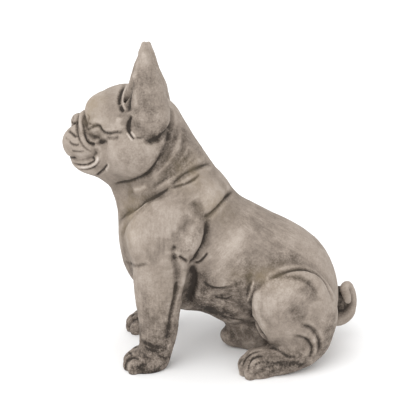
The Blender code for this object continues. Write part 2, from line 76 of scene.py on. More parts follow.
HEAD_PIVOT = (-20, 0, 68)
HEAD_TURN = (-7.5, 0, -2)  # the head is tilted and turned a little to the dog's right, in degrees

SIDE_EYE = (-17, -275, 135)  # the side view is drawn from here, a little from above
HEAD_PLANE, BODY_PLANE = -13.3, -20  # and its points (x, z) are given on one of these planes of y

SIDES = (-1, 1)  # the dog's left, towards -Y, and its right
FAR_AWAY = 8.0  # the distance that is given to all that is further from the clay
STROKE_START = 235  # how far from the eye a stroke's rays begin, just short of the clay
STROKE_STEPS, STROKE_PACE = 60, 0.85  # how often and how boldly a stroke's points move on to the clay
STROKE_LOST = 0.5  # a point that stays further than this from the clay has missed it
FRONT_START = -60  # where the rays of the head's front view begin, in x
STROKE_REACH = 2.5  # how far a stroke is felt, in widths
STROKE_SUNK = 1.6  # and how far above or below the masses
STROKE_FEELER = 0.05  # the step by which the slope of the masses is felt
STROKE_ENDS = 4  # a stroke fades over one part in so many of its length at each end
STROKE_POINTS = 4  # how many points stand for each stretch between two that are given
ROLL_AWAY, ROLL_WIDTH = 1.7, 1.4  # a roll's distance from its crease, and its width, in the crease's widths


def smooth_path(points, steps=6):
    """Points along a Catmull-Rom curve through the given ones."""
    p = np.asarray(points, float)
    ends = np.vstack([2 * p[0] - p[1], p, 2 * p[-1] - p[-2]])
    t = np.arange(steps)[:, None] / steps
    out = []
    for a, b, c, d in zip(ends, ends[1:], ends[2:], ends[3:]):
        bend, twist = 2 * a - 5 * b + 4 * c - d, 3 * b - a - 3 * c + d
        out.append(b + ((c - a) * t + bend * t**2 + twist * t**3) / 2)
    return np.vstack([*out, p[-1:]])


def soft_min(a, b, blend):
    """The smaller of two distances, with a fillet about as wide as blend where they are alike."""
    h = np.clip(0.5 + 0.5 * (b - a) / blend, 0, 1)
    return b + (a - b) * h - blend * h * (1 - h)


class Ball:
    """An ellipsoid of clay, turned about X, Y and Z by degrees."""

    def __init__(self, centre, radii, turn=(0, 0, 0)):
        self.middle, self.radii = np.array(centre, float), np.array(radii, float)
        self.turn = np.array(Euler([math.radians(a) for a in turn]).to_matrix())
        self.reach = self.radii.max()

    def distance(self, p):
        q = (p - self.middle) @ self.turn
        k0 = np.linalg.norm(q / self.radii, axis=1)
        k1 = np.linalg.norm(q / self.radii**2, axis=1)
        return k0 * (k0 - 1) / np.maximum(k1, 1e-9)

    def blanks(self):
        yield self.middle, self.turn, self.radii


class Limb:
    """A tapering roll of clay along a curve, as wide along Y as flat times its radii."""

    def __init__(self, points, radii, flat=1.0):
        self.path = smooth_path(points)
        self.radii = np.interp(np.linspace(0, 1, len(self.path)), np.linspace(0, 1, len(radii)), radii)
        self.flat = np.array([1, flat, 1])
        low, high = self.path.min(0), self.path.max(0)
        self.middle = (low + high) / 2
        self.reach = np.linalg.norm(high - low) / 2 + max(radii) * max(flat, 1)

    def distance(self, p):
        best = np.full(len(p), np.inf)
        q, path = p / self.flat, self.path / self.flat
        for a, b, ra, rb in zip(path, path[1:], self.radii, self.radii[1:]):
            t = np.clip((q - a) @ (b - a) / ((b - a) @ (b - a)), 0, 1)
            away = np.linalg.norm(q - a - t[:, None] * (b - a), axis=1)
            best = np.minimum(best, away - ra - t * (rb - ra))
        return best * min(self.flat[1], 1)

    def blanks(self):
        for centre, radius in zip(self.path, self.radii):
            yield centre, np.eye(3), radius * self.flat


class Frame:
    """A turn about a pivot, for masses that are laid on before the head is tilted."""

    def __init__(self, pivot=(0, 0, 0), turn=(0, 0, 0)):
        self.pivot = np.array(pivot, float)
        self.turn = np.array(Euler([math.radians(a) for a in turn]).to_matrix())

    def inward(self, p):
        """Points of the finished figure, as they lay before the turn."""
        return (p - self.pivot) @ self.turn + self.pivot

    def outward(self, p):
        """Points from before the turn, as they lie in the finished figure."""
        return (p - self.pivot) @ self.turn.T + self.pivot

    def mirrored(self, p, pivot=0.0):
        """Points on the other side of the frame's middle plane, or directions where no pivot is given."""
        return ((p - pivot) @ self.turn * (1, -1, 1)) @ self.turn.T + pivot


BODY_FRAME = Frame()
HEAD_FRAME = Frame(HEAD_PIVOT, HEAD_TURN)


class Clay:
    """Masses and hollows, in the order in which they are laid on, and the strokes drawn over them."""

    def __init__(self):
        self.frame = BODY_FRAME
        self.work = []
        self.drawn = []
        self.strokes = []

    def add(self, mass, blend=2.5):
        self.work.append((mass, self.frame, blend, True))

    def press(self, mass, blend):
        self.work.append((mass, self.frame, blend, False))

    def masses(self, p):
        """The distance of each point from the bare masses and hollows, negative inside them."""
        d = np.full(len(p), FAR_AWAY)
        for mass, frame_, blend, adds in self.work:
            gap = np.linalg.norm(p - frame_.outward(mass.middle), axis=1) - mass.reach
            near = np.nonzero(gap < blend + FAR_AWAY)[0]
            if len(near):
                m = mass.distance(frame_.inward(p[near]))
                d[near] = soft_min(d[near], m, blend) if adds else -soft_min(-d[near], m, blend)
        return d

    @classmethod
    def near_strokes(cls, p, strokes):
        """Each stroke with the points that it reaches, and how strongly it is felt at each."""
        for path, out, width, depth, wash_and_shade in strokes:
            reach = STROKE_REACH * width + STROKE_SUNK
            near = np.nonzero(((p > path.min(0) - reach) & (p < path.max(0) + reach)).all(1))[0]
            if len(near):
                aside, share = cls.along(p[near], path, out)
                end = np.clip(STROKE_ENDS * np.minimum(share, 1 - share), 0, 1)
                yield near, end * (2 - end) * np.exp(-aside / width**2), depth, wash_and_shade

    def field(self, p):
        """The distance of each point from the finished clay, negative inside it."""
        d = self.masses(p)
        for near, felt, depth, _ in self.near_strokes(p, [s for s in self.strokes if s[3]]):
            d[near] += depth * felt
        return d

    def washed_and_shaded(self, p):
        """How much of the wash and painted shade the strokes keep at each point, and how much of it they rub
        away or lighten as painted highlights.
        """
        clear, whole = np.ones(len(p)), np.ones(len(p))
        for near, felt, _, wash_and_shade in self.near_strokes(p, self.strokes):
            if wash_and_shade > 0:
                clear[near] *= 1 - wash_and_shade * felt
            else:
                whole[near] *= 1 + wash_and_shade * felt
        return 1 - clear, 1 - whole

    @staticmethod
    def along(p, path, out):
        """Each point's squared distance from a path, over the surface, and its share of the way along it."""
        best, aside, share = np.full(len(p), np.inf), np.full(len(p), np.inf), np.zeros(len(p))
        for i, (a, b, up) in enumerate(zip(path, path[1:], out)):
            t = np.clip((p - a) @ (b - a) / max((b - a) @ (b - a), 1e-9), 0, 1)
            away = p - a - t[:, None] * (b - a)
            square = (away**2).sum(1)
            closer = np.nonzero(square < best)[0]
            best[closer] = square[closer]
            aside[closer] = square[closer] - np.minimum((away[closer] @ up) ** 2, STROKE_SUNK**2)
            share[closer] = (i + t[closer]) / (len(path) - 1)
        return aside, share

    def draw(self, points, width, depth, plane=BODY_PLANE, roll=0.0, wash_and_shade=0.0):
        """A crease of that depth along points (x, z) of the side view, or a ridge where it is negative.

        A roll of skin lies above it, roll times as high as it is deep, or below it where negative.
        The wash stays in it, or is rubbed off where negative; on some strokes the dark is painted shade and
        the pale a painted highlight.
        """
        flat = smooth_path(points, STROKE_POINTS)
        self.drawn.append((*self.side_rays(flat, plane), width, depth, wash_and_shade, self.frame))
        if roll:
            along = np.gradient(flat, axis=0)
            across = np.stack([-along[:, 1], along[:, 0]], 1) / np.linalg.norm(along, axis=1)[:, None]
            across *= np.sign(across[:, 1].sum()) * np.sign(roll)
            rays = self.side_rays(flat + across * ROLL_AWAY * width, plane)
            self.drawn.append((*rays, ROLL_WIDTH * width, -depth * abs(roll), 0, self.frame))

    def carve(self, points, width, depth, wash_and_shade=0.0):
        """A crease along points (y, z) of the front view of the head."""
        flat = smooth_path(points, STROKE_POINTS)
        starts = self.frame.outward(np.column_stack([np.full(len(flat), FRONT_START), flat]))
        backwards = self.frame.outward(self.frame.pivot + [[1, 0, 0]]) - self.frame.pivot
        towards = np.repeat(backwards, len(flat), 0)
        self.drawn.append((starts, towards, width, depth, wash_and_shade, self.frame))

    @staticmethod
    def side_rays(flat, plane):
        """Where the rays through points of the side view begin, and the way that they go."""
        eye = np.array(SIDE_EYE, float)
        towards = np.column_stack([flat[:, 0], np.full(len(flat), plane), flat[:, 1]]) - eye
        towards /= np.linalg.norm(towards, axis=1)[:, None]
        return eye + towards * STROKE_START, towards

    def settle(self):
        """Lays every drawn stroke on the surface of the masses, and its like on the other side."""
        starts = np.vstack([starts for starts, *_ in self.drawn])
        towards = np.vstack([towards for _, towards, *_ in self.drawn])
        gone = np.zeros(len(starts))
        for _ in range(STROKE_STEPS):
            gone += STROKE_PACE * self.masses(starts + towards * gone[:, None])
        hits = starts + towards * gone[:, None]
        left = self.masses(hits)
        slope = np.stack([self.masses(hits + step) - left for step in STROKE_FEELER * np.eye(3)], 1)
        slope /= np.maximum(np.linalg.norm(slope, axis=1), 1e-9)[:, None]
        at = 0
        for rays, _, width, depth, wash_and_shade, frame_ in self.drawn:
            kept = np.arange(at, at + len(rays))
            at += len(rays)
            kept = kept[np.abs(left[kept]) < STROKE_LOST]
            if len(kept) > 1:
                path, out = hits[kept], slope[kept]
                self.strokes.append((path, out, width, depth, wash_and_shade))
                path, out = frame_.mirrored(path, frame_.pivot), frame_.mirrored(out)
                self.strokes.append((path, out, width, depth, wash_and_shade))


# The masses of the figure


def torso(clay):
    clay.add(Ball((-12.5, 0, 41), (16, 17, 17.5), (0, 15, 0)))
    clay.add(Ball((-19.5, 0, 40), (10.4, 13, 15), (0, 4, 0)), 3)
    clay.add(Ball((-18.6, 0, 31), (9.6, 12, 11), (0, -12, 0)), 3)
    clay.add(Ball((-4.5, 0, 47), (10, 12, 12.4), (0, 32, 0)), 4)
    clay.add(Ball((3, 0, 33.5), (17, 17.5, 17.5), (0, 35, 0)), 5)
    clay.add(Ball((16.4, 0, 27), (18.2, 17.5, 17), (0, 40, 0)), 5)
    clay.add(Ball((26.6, 0, 18), (13.4, 18, 19.2), (0, -1, 0)), 5)
    clay.add(Ball((-1.5, 0, 25), (14.5, 13, 12), (0, 12, 0)), 4)
    clay.add(Ball((-9.6, 0, 22.4), (7.4, 9.6, 8.4)), 3)
    clay.add(Ball((7, 0, 19.5), (10, 12, 11)), 4)


def neck(clay):
    clay.add(Limb([(-21, 0, 72), (-17, 0, 63), (-11.6, 0, 52)], [12, 13, 14.6]), 3)
    clay.add(Limb([(-33.6, 0, 63.5), (-26.6, 0, 57.4), (-20.6, 0, 47)], [5, 6.2, 9]), 3)


def skull(clay):
    clay.add(Ball((-26.3, 0, 75.2), (12.6, 14, 11.2)), 2.5)
    clay.add(Ball((-29.3, 0, 64.5), (9, 11, 6.8), (0, -10, 0)), 3)
    for side in SIDES:
        clay.add(Ball((-32.6, 5.6 * side, 78.6), (6.1, 6, 5.6)), 1.5)
        clay.add(Ball((-23.5, 8.2 * side, 68), (9.5, 8.2, 9)), 3)


def muzzle(clay):
    clay.add(Ball((-37, 0, 69), (7.6, 9.4, 7)), 2)
    clay.add(Ball((-36.3, 0, 63), (7.6, 8.8, 4.4), (0, 8, 0)), 1.2)
    clay.add(Ball((-38.8, 0, 75.2), (2.6, 3.8, 2.9)), 1)
    clay.add(Ball((-41.2, 0, 74.9), (2.4, 4, 2.7), (0, -12, 0)), 0.7)
    for side in SIDES:
        clay.add(Ball((-41, 3.6 * side, 69), (4.9, 4.6, 5.2)), 1.8)
        clay.add(Ball((-37.8, 6.8 * side, 68.4), (5, 4.2, 4)), 1.4)
        fold = [(-39.4, 0.8 * side, 77.5), (-39.7, 3.6 * side, 76.9), (-39.5, 6.2 * side, 74.6),
                (-38.6, 8 * side, 72.2), (-37.2, 9.4 * side, 70.2), (-35.6, 10.2 * side, 69.2)]
        clay.add(Limb(fold, [1.0, 1.1, 1.1, 1.1, 1.2, 1.2]), 0.5)
        jowl = [(-35.2, 9.8 * side, 69.4), (-33.6, 10 * side, 67.8), (-33.4, 9.8 * side, 66),
                (-35, 9.2 * side, 64.2), (-37.6, 8 * side, 63.4)]
        clay.add(Limb(jowl, [1.2, 1.5, 1.6, 1.5, 1.2]), 1.0)
        clay.press(Ball((-43.4, 1.7 * side, 75), (1.1, 0.9, 0.8)), 0.3)


def eye(clay, side):
    clay.press(Ball((-36.4, 10.2 * side, 72.2), (1.8, 1.4, 1.3)), 1.6)
    clay.add(Ball((-34.5, 8.3 * side, 73.8), (2.8, 2.4, 2.1)), 1.2)
    lid = [(-37, 7.9 * side, 75.6), (-35, 9.9 * side, 76.4), (-32.6, 11.2 * side, 75.5)]
    clay.add(Limb(lid, [0.5, 0.8, 0.5]), 0.7)


def ear(clay, side):
    clay.add(Ball((-19.4, 11.6 * side, 77), (6.1, 4.4, 6.2)), 1.4)
    horn = [(-20.1, 10.6 * side, 79), (-20.5, 10.9 * side, 84), (-20.9, 11.4 * side, 89.5),
            (-20.5, 11.9 * side, 94), (-20.4, 12.2 * side, 98)]
    clay.add(Limb(horn, [6.6, 6.0, 4.1, 2.4, 0.9], 0.85), 1.2)
    cup = [(-25.9, 11 * side, 82), (-25.8, 11.4 * side, 85.6), (-24.6, 11.8 * side, 90),
           (-23, 12.2 * side, 94.5)]
    clay.press(Limb(cup, [1.1, 1.9, 1.7, 0.7]), 1.1)


def foreleg(clay, side):
    clay.add(Ball((-15.5, 11 * side, 44), (11.5, 8.2, 13), (0, 25, 0)), 2.5)
    clay.add(Ball((-6.5, 8.5 * side, 50), (8.5, 6.5, 10), (0, 35, 0)), 2.5)
    bone = [(-13.5, 11.4 * side, 44), (-16, 12.6 * side, 36), (-17.5, 13.6 * side, 27),
            (-17.9, 14 * side, 19), (-18.1, 14 * side, 12), (-19.3, 14 * side, 4.6)]
    clay.add(Limb(bone, [8.6, 9.4, 7.9, 6.5, 5.9, 5.1], 0.78), 2.5)
    clay.add(Ball((-8.6, 14.4 * side, 42.6), (4.6, 4, 7), (0, 12, 0)), 2)
    clay.add(Ball((-11.2, 13.4 * side, 32.6), (3, 3.6, 6.4), (0, -12, 0)), 1.6)
    clay.add(Ball((-20.6, 14.4 * side, 30.5), (3.4, 4.6, 8), (0, -6, 0)), 2)
    clay.add(Ball((-21, 14 * side, 2.2), (5.6, 5.2, 5)), 1.5)
    paw(clay, -28, 14 * side, 3.6)
    armpit = [(-7.4, 18.4 * side, 37), (-7.3, 16.8 * side, 31), (-8.4, 15 * side, 24)]
    clay.press(Limb(armpit, [0.8, 1.9, 2.2]), 1.2)


def hind_leg(clay, side):
    clay.add(Ball((24, 15.4 * side, 18.6), (13, 7.5, 15.5), (0, -22, 0)), 1.5)
    clay.add(Ball((18.6, 15.8 * side, 24.2), (9.2, 6.6, 9), (0, -25, 0)), 2)
    clay.add(Ball((28.4, 15.4 * side, 9.4), (7, 5.6, 8)), 2)
    heel_to_toes = [(25.8, 17 * side, 6.4), (19.5, 18.8 * side, 4), (12.5, 19.4 * side, 3)]
    clay.add(Limb(heel_to_toes, [6, 5, 4.4], 1.05), 1.5)
    paw(clay, 7.6, 19.4 * side, 4.3)


def paw(clay, front, middle, knuckle):
    """Four toes side by side, the inner two further forward, on one pad."""
    clay.add(Ball((front + 4.6, middle, 0.3 * knuckle), (5.4, 5.2, 0.95 * knuckle)), 1.5)
    for set_back, y in ((1.5, -3.9), (0, -1.35), (0, 1.35), (1.5, 3.9)):
        x = front + set_back
        toe = [(x + 5.5, middle + 0.75 * y, knuckle), (x + 2.4, middle + y, knuckle),
               (x + 0.5, middle + y, 0.55 * knuckle), (x + 0.6, middle + y, 0)]
        clay.add(Limb(toe, [1.4, 1.7, 1.75, 1.6]), 0.6)


def groin(clay):
    clay.add(Ball((12.6, 0, 8), (8.8, 7.4, 9)), 3)
    clay.add(Ball((6.3, 0, 2.9), (4.3, 4.6, 3.1), (0, 14, 0)), 1.8)
    clay.add(Ball((18, 0, 7), (10, 10, 9)), 4)


def tail(clay):
    curl = [(36, 0, 9.5), (41, 0, 8.9), (44, 0.3, 10.4), (45.1, 0.7, 13.6), (44.8, 0.7, 17), (43.4, 0, 19.9),
            (42, -1.8, 19.6), (42.6, -3, 17.8), (43, -3.2, 16.2)]
    clay.add(Ball((40.6, 0.3, 14.4), (3.4, 1.5, 5.4)), 1)
    clay.add(Limb(curl, [3.4, 2.8, 2.2, 1.7, 1.6, 1.6, 1.5, 1.4, 1.1]), 0.8)


# The creases, folds and wrinkles


def brow_creases(clay):
    under_brow = [(-37.6, 75.9), (-37, 76.1), (-36.2, 76.5), (-34.9, 77), (-34, 76.7), (-33.4, 75.6),
                  (-32.4, 74.9), (-30.8, 74.7), (-28.8, 75), (-26.9, 74.7)]
    clay.draw(under_brow, 0.5, 0.37, HEAD_PLANE, roll=0.25, wash_and_shade=0.8)
    clay.draw([(-37.8, 73.2), (-37.2, 72.5), (-36.4, 71.8), (-35.4, 71.3)], 0.4, 0.34, HEAD_PLANE, wash_and_shade=0.9)
    clay.draw([(-36, 72.9), (-34.8, 71.9), (-33.4, 72.2), (-31.8, 72.2)], 0.7, 0.4, HEAD_PLANE, wash_and_shade=0.25)
    clay.draw([(-37.4, 80.3), (-36.9, 79.4), (-37.2, 78), (-36.5, 77.2)], 0.35, 0.17, HEAD_PLANE, wash_and_shade=0.4)
    clay.draw([(-36.9, 77.6), (-36.1, 77.2), (-35.5, 76.9)], 0.35, 0.17, HEAD_PLANE, wash_and_shade=0.4)
    clay.draw([(-32.5, 73.4), (-30.4, 73.2), (-28.4, 73.5)], 0.6, 0.25, HEAD_PLANE, wash_and_shade=0.3)


def nose_creases(clay):
    behind_fold = [(-38.2, 80.4), (-38.6, 78.4), (-38.4, 76.4), (-38.1, 74.4), (-37.4, 72.6), (-36.4, 71.2),
                   (-35.4, 70.4)]
    clay.draw(behind_fold, 0.5, 0.48, HEAD_PLANE, wash_and_shade=0.64)
    before_fold = [(-39.8, 80.2), (-40.4, 78.2), (-40.5, 75.8), (-40.2, 73.6), (-39.2, 71.4), (-37.9, 69.9),
                   (-36.4, 69.2)]
    clay.draw(before_fold, 0.4, 0.34, HEAD_PLANE, wash_and_shade=0.48)
    clay.draw([(-43, 78.3), (-42, 77.9), (-41, 77.7)], 0.4, 0.34, HEAD_PLANE, wash_and_shade=0.64)
    clay.draw([(-41.3, 80.6), (-41.5, 79.6), (-41.5, 78.3)], 0.35, 0.2, HEAD_PLANE, wash_and_shade=0.4)
    clay.draw([(-43.6, 76.1), (-42.6, 75.3), (-41.6, 74.4), (-40.6, 73.6)], 0.45, 0.41, HEAD_PLANE, wash_and_shade=0.64)
    clay.draw([(-44, 73.8), (-43.4, 72.9), (-42.4, 72.1)], 0.35, 0.17, HEAD_PLANE, wash_and_shade=0.24)
    upper_wrinkle = [(-43, 72.4), (-42, 71.6), (-40.8, 71.3), (-40.1, 71.7)]
    clay.draw(upper_wrinkle, 0.35, 0.24, HEAD_PLANE, roll=0.4, wash_and_shade=0.56)
    lower_wrinkle = [(-42.4, 69.6), (-41.2, 69.4), (-39.8, 69.2), (-38.6, 69.6)]
    clay.draw(lower_wrinkle, 0.35, 0.24, HEAD_PLANE, roll=0.4, wash_and_shade=0.48)


def mouth_creases(clay):
    between_lips = [(-43, 66.6), (-41.6, 65.6), (-40.2, 65.2), (-38.6, 65.2), (-37.2, 65.6), (-36.2, 66.3),
                    (-36, 67), (-36.4, 67.7)]
    clay.draw(between_lips, 0.4, 0.48, HEAD_PLANE, wash_and_shade=0.68)
    strip = [(-41.2, 64.9), (-39.6, 64.6), (-37.8, 64.8), (-36.2, 65.4), (-35.2, 66.2), (-34.9, 67.1),
             (-35.4, 67.8)]
    clay.draw(strip, 0.5, -0.2, HEAD_PLANE, wash_and_shade=-1)
    under_strip = [(-41.4, 64.2), (-39.4, 63.8), (-37.4, 64), (-35.6, 64.8), (-34.6, 66), (-34.3, 67.4)]
    clay.draw(under_strip, 0.35, 0.27, HEAD_PLANE, wash_and_shade=0.48)
    corner = [(-36.6, 61.6), (-35.2, 62.1), (-34, 63.1), (-32.9, 64.3), (-31.9, 65.6)]
    clay.draw(corner, 0.45, 0.41, HEAD_PLANE, wash_and_shade=0.68)
    clay.draw([(-32.9, 63.6), (-32.2, 64.6), (-31.6, 65.6)], 0.4, -0.14, HEAD_PLANE, wash_and_shade=-0.9)


def front_creases(clay):
    """The middle of the lips and the mouth, which the front view shows; points are (y, z) of the head."""
    clay.carve([(0, 73), (0, 70.6), (0, 67.6)], 0.5, 0.17, wash_and_shade=0.8)
    clay.carve([(0, 66.2), (1.6, 65.6), (3.6, 64.8), (5.6, 64.6), (7.4, 65)], 0.5, 0.31, wash_and_shade=0.9)
    clay.carve([(0.4, 73), (2, 73.4), (3.6, 74.4), (4.2, 75.6)], 0.4, 0.27, wash_and_shade=0.7)
    clay.carve([(0.2, 79), (0.2, 80.4), (0.1, 82)], 0.8, 0.3, wash_and_shade=0.1)


def ear_creases(clay):
    before_rim = [(-26, 89.6), (-27.4, 87), (-28, 85), (-28, 83.2), (-27.6, 81.8), (-26.9, 80.8)]
    clay.draw(before_rim, 0.6, 0.7, HEAD_PLANE, wash_and_shade=0.8)
    rim = [(-25.6, 89), (-26.7, 86.6), (-27.1, 84.6), (-27, 82.8), (-26.3, 81)]
    clay.draw(rim, 0.35, -0.24, HEAD_PLANE, wash_and_shade=-0.9)
    inside_cup = [(-24, 91), (-24.9, 87.6), (-25.5, 85), (-25.7, 82.6), (-25.3, 80.8)]
    clay.draw(inside_cup, 1.0, 0.8, HEAD_PLANE, wash_and_shade=0.75)
    clay.draw([(-24.8, 80), (-25.5, 78), (-25.7, 76), (-25.2, 74.6)], 0.6, 0.6, HEAD_PLANE, wash_and_shade=0.8)
    clay.draw([(-28.2, 79.6), (-28.4, 77.4), (-27.4, 75.6)], 1.1, -0.35, HEAD_PLANE, wash_and_shade=-0.25)
    # painted shadow: the wash in the crease under the ear's base darkens the skin where the ear's shadow
    # falls
    under_ear = [(-21.5, 72.7), (-19.1, 72.4), (-16.8, 73.4), (-14.6, 75.6), (-13.6, 78)]
    clay.draw(under_ear, 1.0, 0.7, HEAD_PLANE, wash_and_shade=0.75)
    clay.draw([(-26.3, 74.9), (-25.4, 73.4), (-24.6, 72.2)], 0.3, -0.14, HEAD_PLANE, wash_and_shade=-0.9)
    clay.draw([(-25.2, 75.4), (-24.2, 74), (-23.4, 73)], 0.3, -0.14, HEAD_PLANE, wash_and_shade=-0.8)
    clay.draw([(-25.9, 75.4), (-24.9, 73.8), (-24.1, 72.8)], 0.3, 0.24, HEAD_PLANE, wash_and_shade=0.9)
    clay.draw([(-24.2, 73.4), (-22.6, 73.2), (-21, 73.5)], 0.35, 0.2, HEAD_PLANE, wash_and_shade=0.6)


def cheek_creases(clay):
    behind_cheek = [(-13.4, 82), (-13.3, 79), (-13.7, 75), (-14.3, 71.6), (-15.4, 69.2), (-16.8, 66.6),
                    (-18.3, 64.3), (-20.4, 62.2), (-23, 61), (-26, 60.4)]
    clay.draw(behind_cheek, 1.3, 0.9, HEAD_PLANE, roll=0.2, wash_and_shade=0.4)
    under_cheek = [(-15.6, 68.6), (-16.8, 66.6), (-18.3, 64.2), (-20.2, 62.2), (-22.6, 60.9), (-25.6, 60.2),
                   (-28.4, 59.8), (-30.8, 59.2)]
    clay.draw(under_cheek, 0.45, 0.27, HEAD_PLANE, wash_and_shade=0.85)


def neck_folds(clay):
    first = [(-11.6, 77), (-12, 73.6), (-13.2, 70.2), (-14.4, 67.6), (-16.4, 64.8), (-18.4, 62.6)]
    clay.draw(first, 0.9, 0.45, HEAD_PLANE, wash_and_shade=0.35)
    second = [(-9.8, 74), (-10, 70), (-11.8, 66.4), (-14.4, 63.2), (-17.6, 60.6)]
    clay.draw(second, 1.0, 0.45, HEAD_PLANE, wash_and_shade=0.35)
    third = [(-7.6, 69.6), (-9.2, 66.6), (-12, 63.6), (-15.2, 61), (-19.4, 58.4)]
    clay.draw(third, 0.9, 0.45, HEAD_PLANE, wash_and_shade=0.35)
    fourth = [(-6, 67.4), (-8.6, 65), (-12, 62.4), (-16, 60), (-20.4, 57)]
    clay.draw(fourth, 0.5, 0.17, HEAD_PLANE, wash_and_shade=0.35)
    nape = [(-1.8, 65.4), (-4.2, 64.7), (-7, 63.4), (-9.5, 62.1), (-11.6, 60.4), (-14.2, 57.9)]
    clay.draw(nape, 1.1, 0.7, HEAD_PLANE, roll=0.2, wash_and_shade=0.35)
    clay.draw(nape, 0.35, 0.2, HEAD_PLANE, wash_and_shade=0.8)
    under_nape = [(-5.1, 61.9), (-6.8, 60.5), (-9.1, 59.2), (-11.4, 58.5), (-14, 57.7)]
    clay.draw(under_nape, 0.45, 0.31, HEAD_PLANE, roll=0.5, wash_and_shade=0.8)
    collar = [(-13.6, 58.2), (-16.3, 56.5), (-19.5, 55), (-21.5, 54.2), (-24.3, 52), (-27.1, 50.3),
              (-29.5, 47.6)]
    clay.draw(collar, 1.3, 0.8, HEAD_PLANE, roll=0.2, wash_and_shade=0.35)
    clay.draw(collar, 0.4, 0.24, HEAD_PLANE, wash_and_shade=0.9)
    clay.draw([(-20.6, 53.8), (-22.6, 52.6), (-25, 50.6)], 0.35, -0.14, HEAD_PLANE, wash_and_shade=-0.7)
    clay.draw([(-25, 57.6), (-22.8, 57.8), (-20.6, 58.8)], 0.9, -0.2, HEAD_PLANE, wash_and_shade=-0.8)


def shoulder_creases(clay):
    withers = [(4.8, 59.2), (2.8, 57.4), (0.9, 54.9), (-0.9, 53), (-2.8, 51.3), (-4, 50.7)]
    clay.draw(withers, 0.9, 0.7, roll=0.3, wash_and_shade=0.35)
    clay.draw(withers[:-1], 0.35, 0.2, wash_and_shade=0.75)
    clay.draw([(-7.6, 56), (-6.2, 54), (-4.6, 51.8), (-3.4, 50.4)], 1.5, 0.6, wash_and_shade=0.2)
    clay.draw([(-8, 51), (-10.4, 47.4), (-12.4, 43.6), (-12.8, 40)], 2.2, 0.55, wash_and_shade=0.1)
    behind_shoulder = [(-3.5, 45.4), (-4.2, 42.7), (-5.3, 40.5), (-6.7, 38.1), (-8.7, 36.7)]
    clay.draw([(-3.3, 50.4), (-3.3, 47.8), *behind_shoulder], 1.2, 0.8, wash_and_shade=0.4)
    clay.draw([(-3.3, 47), *behind_shoulder], 0.4, 0.24, wash_and_shade=0.8)
    clay.draw([(-3, 40), (-4, 38.6), (-5.5, 37), (-7.2, 36.5)], 0.4, 0.27, roll=0.5, wash_and_shade=0.8)
    clay.draw([(-11.6, 39), (-10.4, 38), (-9, 36.9)], 0.5, 0.34, wash_and_shade=0.7)
    clay.draw([(-20.8, 55), (-23.6, 52.8), (-26, 50.4), (-27.4, 48), (-28.2, 45)], 1.1, 0.4, wash_and_shade=0.15)
    clay.draw([(-16, 45), (-16.7, 41.4), (-18, 39), (-20.4, 37.2)], 1.6, 0.35, wash_and_shade=0.05)
    clay.draw([(-27.6, 37.6), (-24.6, 36.2), (-22.6, 36.4), (-20.6, 36.7)], 0.6, 0.12, wash_and_shade=0.35)
    clay.draw([(-12.9, 42.4), (-13.2, 40), (-12.8, 37.4)], 0.7, 0.3, wash_and_shade=0.4)


def foreleg_creases(clay):
    clay.draw([(-13.4, 40), (-12.7, 37), (-12.2, 34), (-12.2, 30), (-12.8, 26)], 1.2, 0.6, wash_and_shade=0.45)
    sinew = [(-12, 31), (-12.4, 28), (-13.2, 24.6), (-14, 21), (-14.7, 17), (-15.4, 12.8), (-16.2, 9)]
    clay.draw(sinew, 0.8, 0.6, wash_and_shade=0.6)
    clay.draw([(-22.4, 30), (-22, 24), (-21.8, 18), (-22, 13)], 1.2, 0.2, wash_and_shade=0.15)
    clay.draw([(-23.6, 12.4), (-22, 11), (-19.6, 9.8), (-16.4, 9.4)], 0.6, 0.14, wash_and_shade=0.5)
    clay.draw([(-22.6, 9.8), (-20.4, 8.4), (-17.8, 7.8)], 0.5, 0.17, wash_and_shade=0.5)
    clay.draw([(-19.8, 8), (-18.2, 6.4), (-15.6, 5.6)], 0.5, 0.17, wash_and_shade=0.45)
    clay.draw([(-24.4, 8.6), (-22.8, 7.2), (-21, 5.4)], 0.5, 0.17, wash_and_shade=0.45)
    clay.draw([(-7.9, 36), (-7, 32.6), (-7.4, 29.6), (-8.4, 26), (-9.4, 21)], 1.0, 0.8, wash_and_shade=0.6)


def belly_creases(clay):
    clay.draw([(-4.6, 31), (-3.3, 29.6), (-1.6, 28.8), (1, 28.5), (4.6, 29)], 0.45, 0.2, roll=0.4, wash_and_shade=0.7)
    clay.draw([(4.6, 29), (8, 30.6), (10, 33)], 1.2, 0.3, wash_and_shade=0.3)
    clay.draw([(-1.6, 26.4), (0.4, 25.2), (2.8, 25), (4.4, 26)], 0.4, 0.14, wash_and_shade=0.5)
    clay.draw([(1, 26.6), (1.4, 24.6), (3.6, 23.2)], 0.35, 0.14, wash_and_shade=0.5)
    clay.draw([(-6, 22), (-1, 20.4), (4, 20)], 0.7, 0.2, wash_and_shade=0.4)
    clay.draw([(1, 19.4), (4.4, 18.4), (8, 17.6)], 0.5, 0.14, wash_and_shade=0.5)


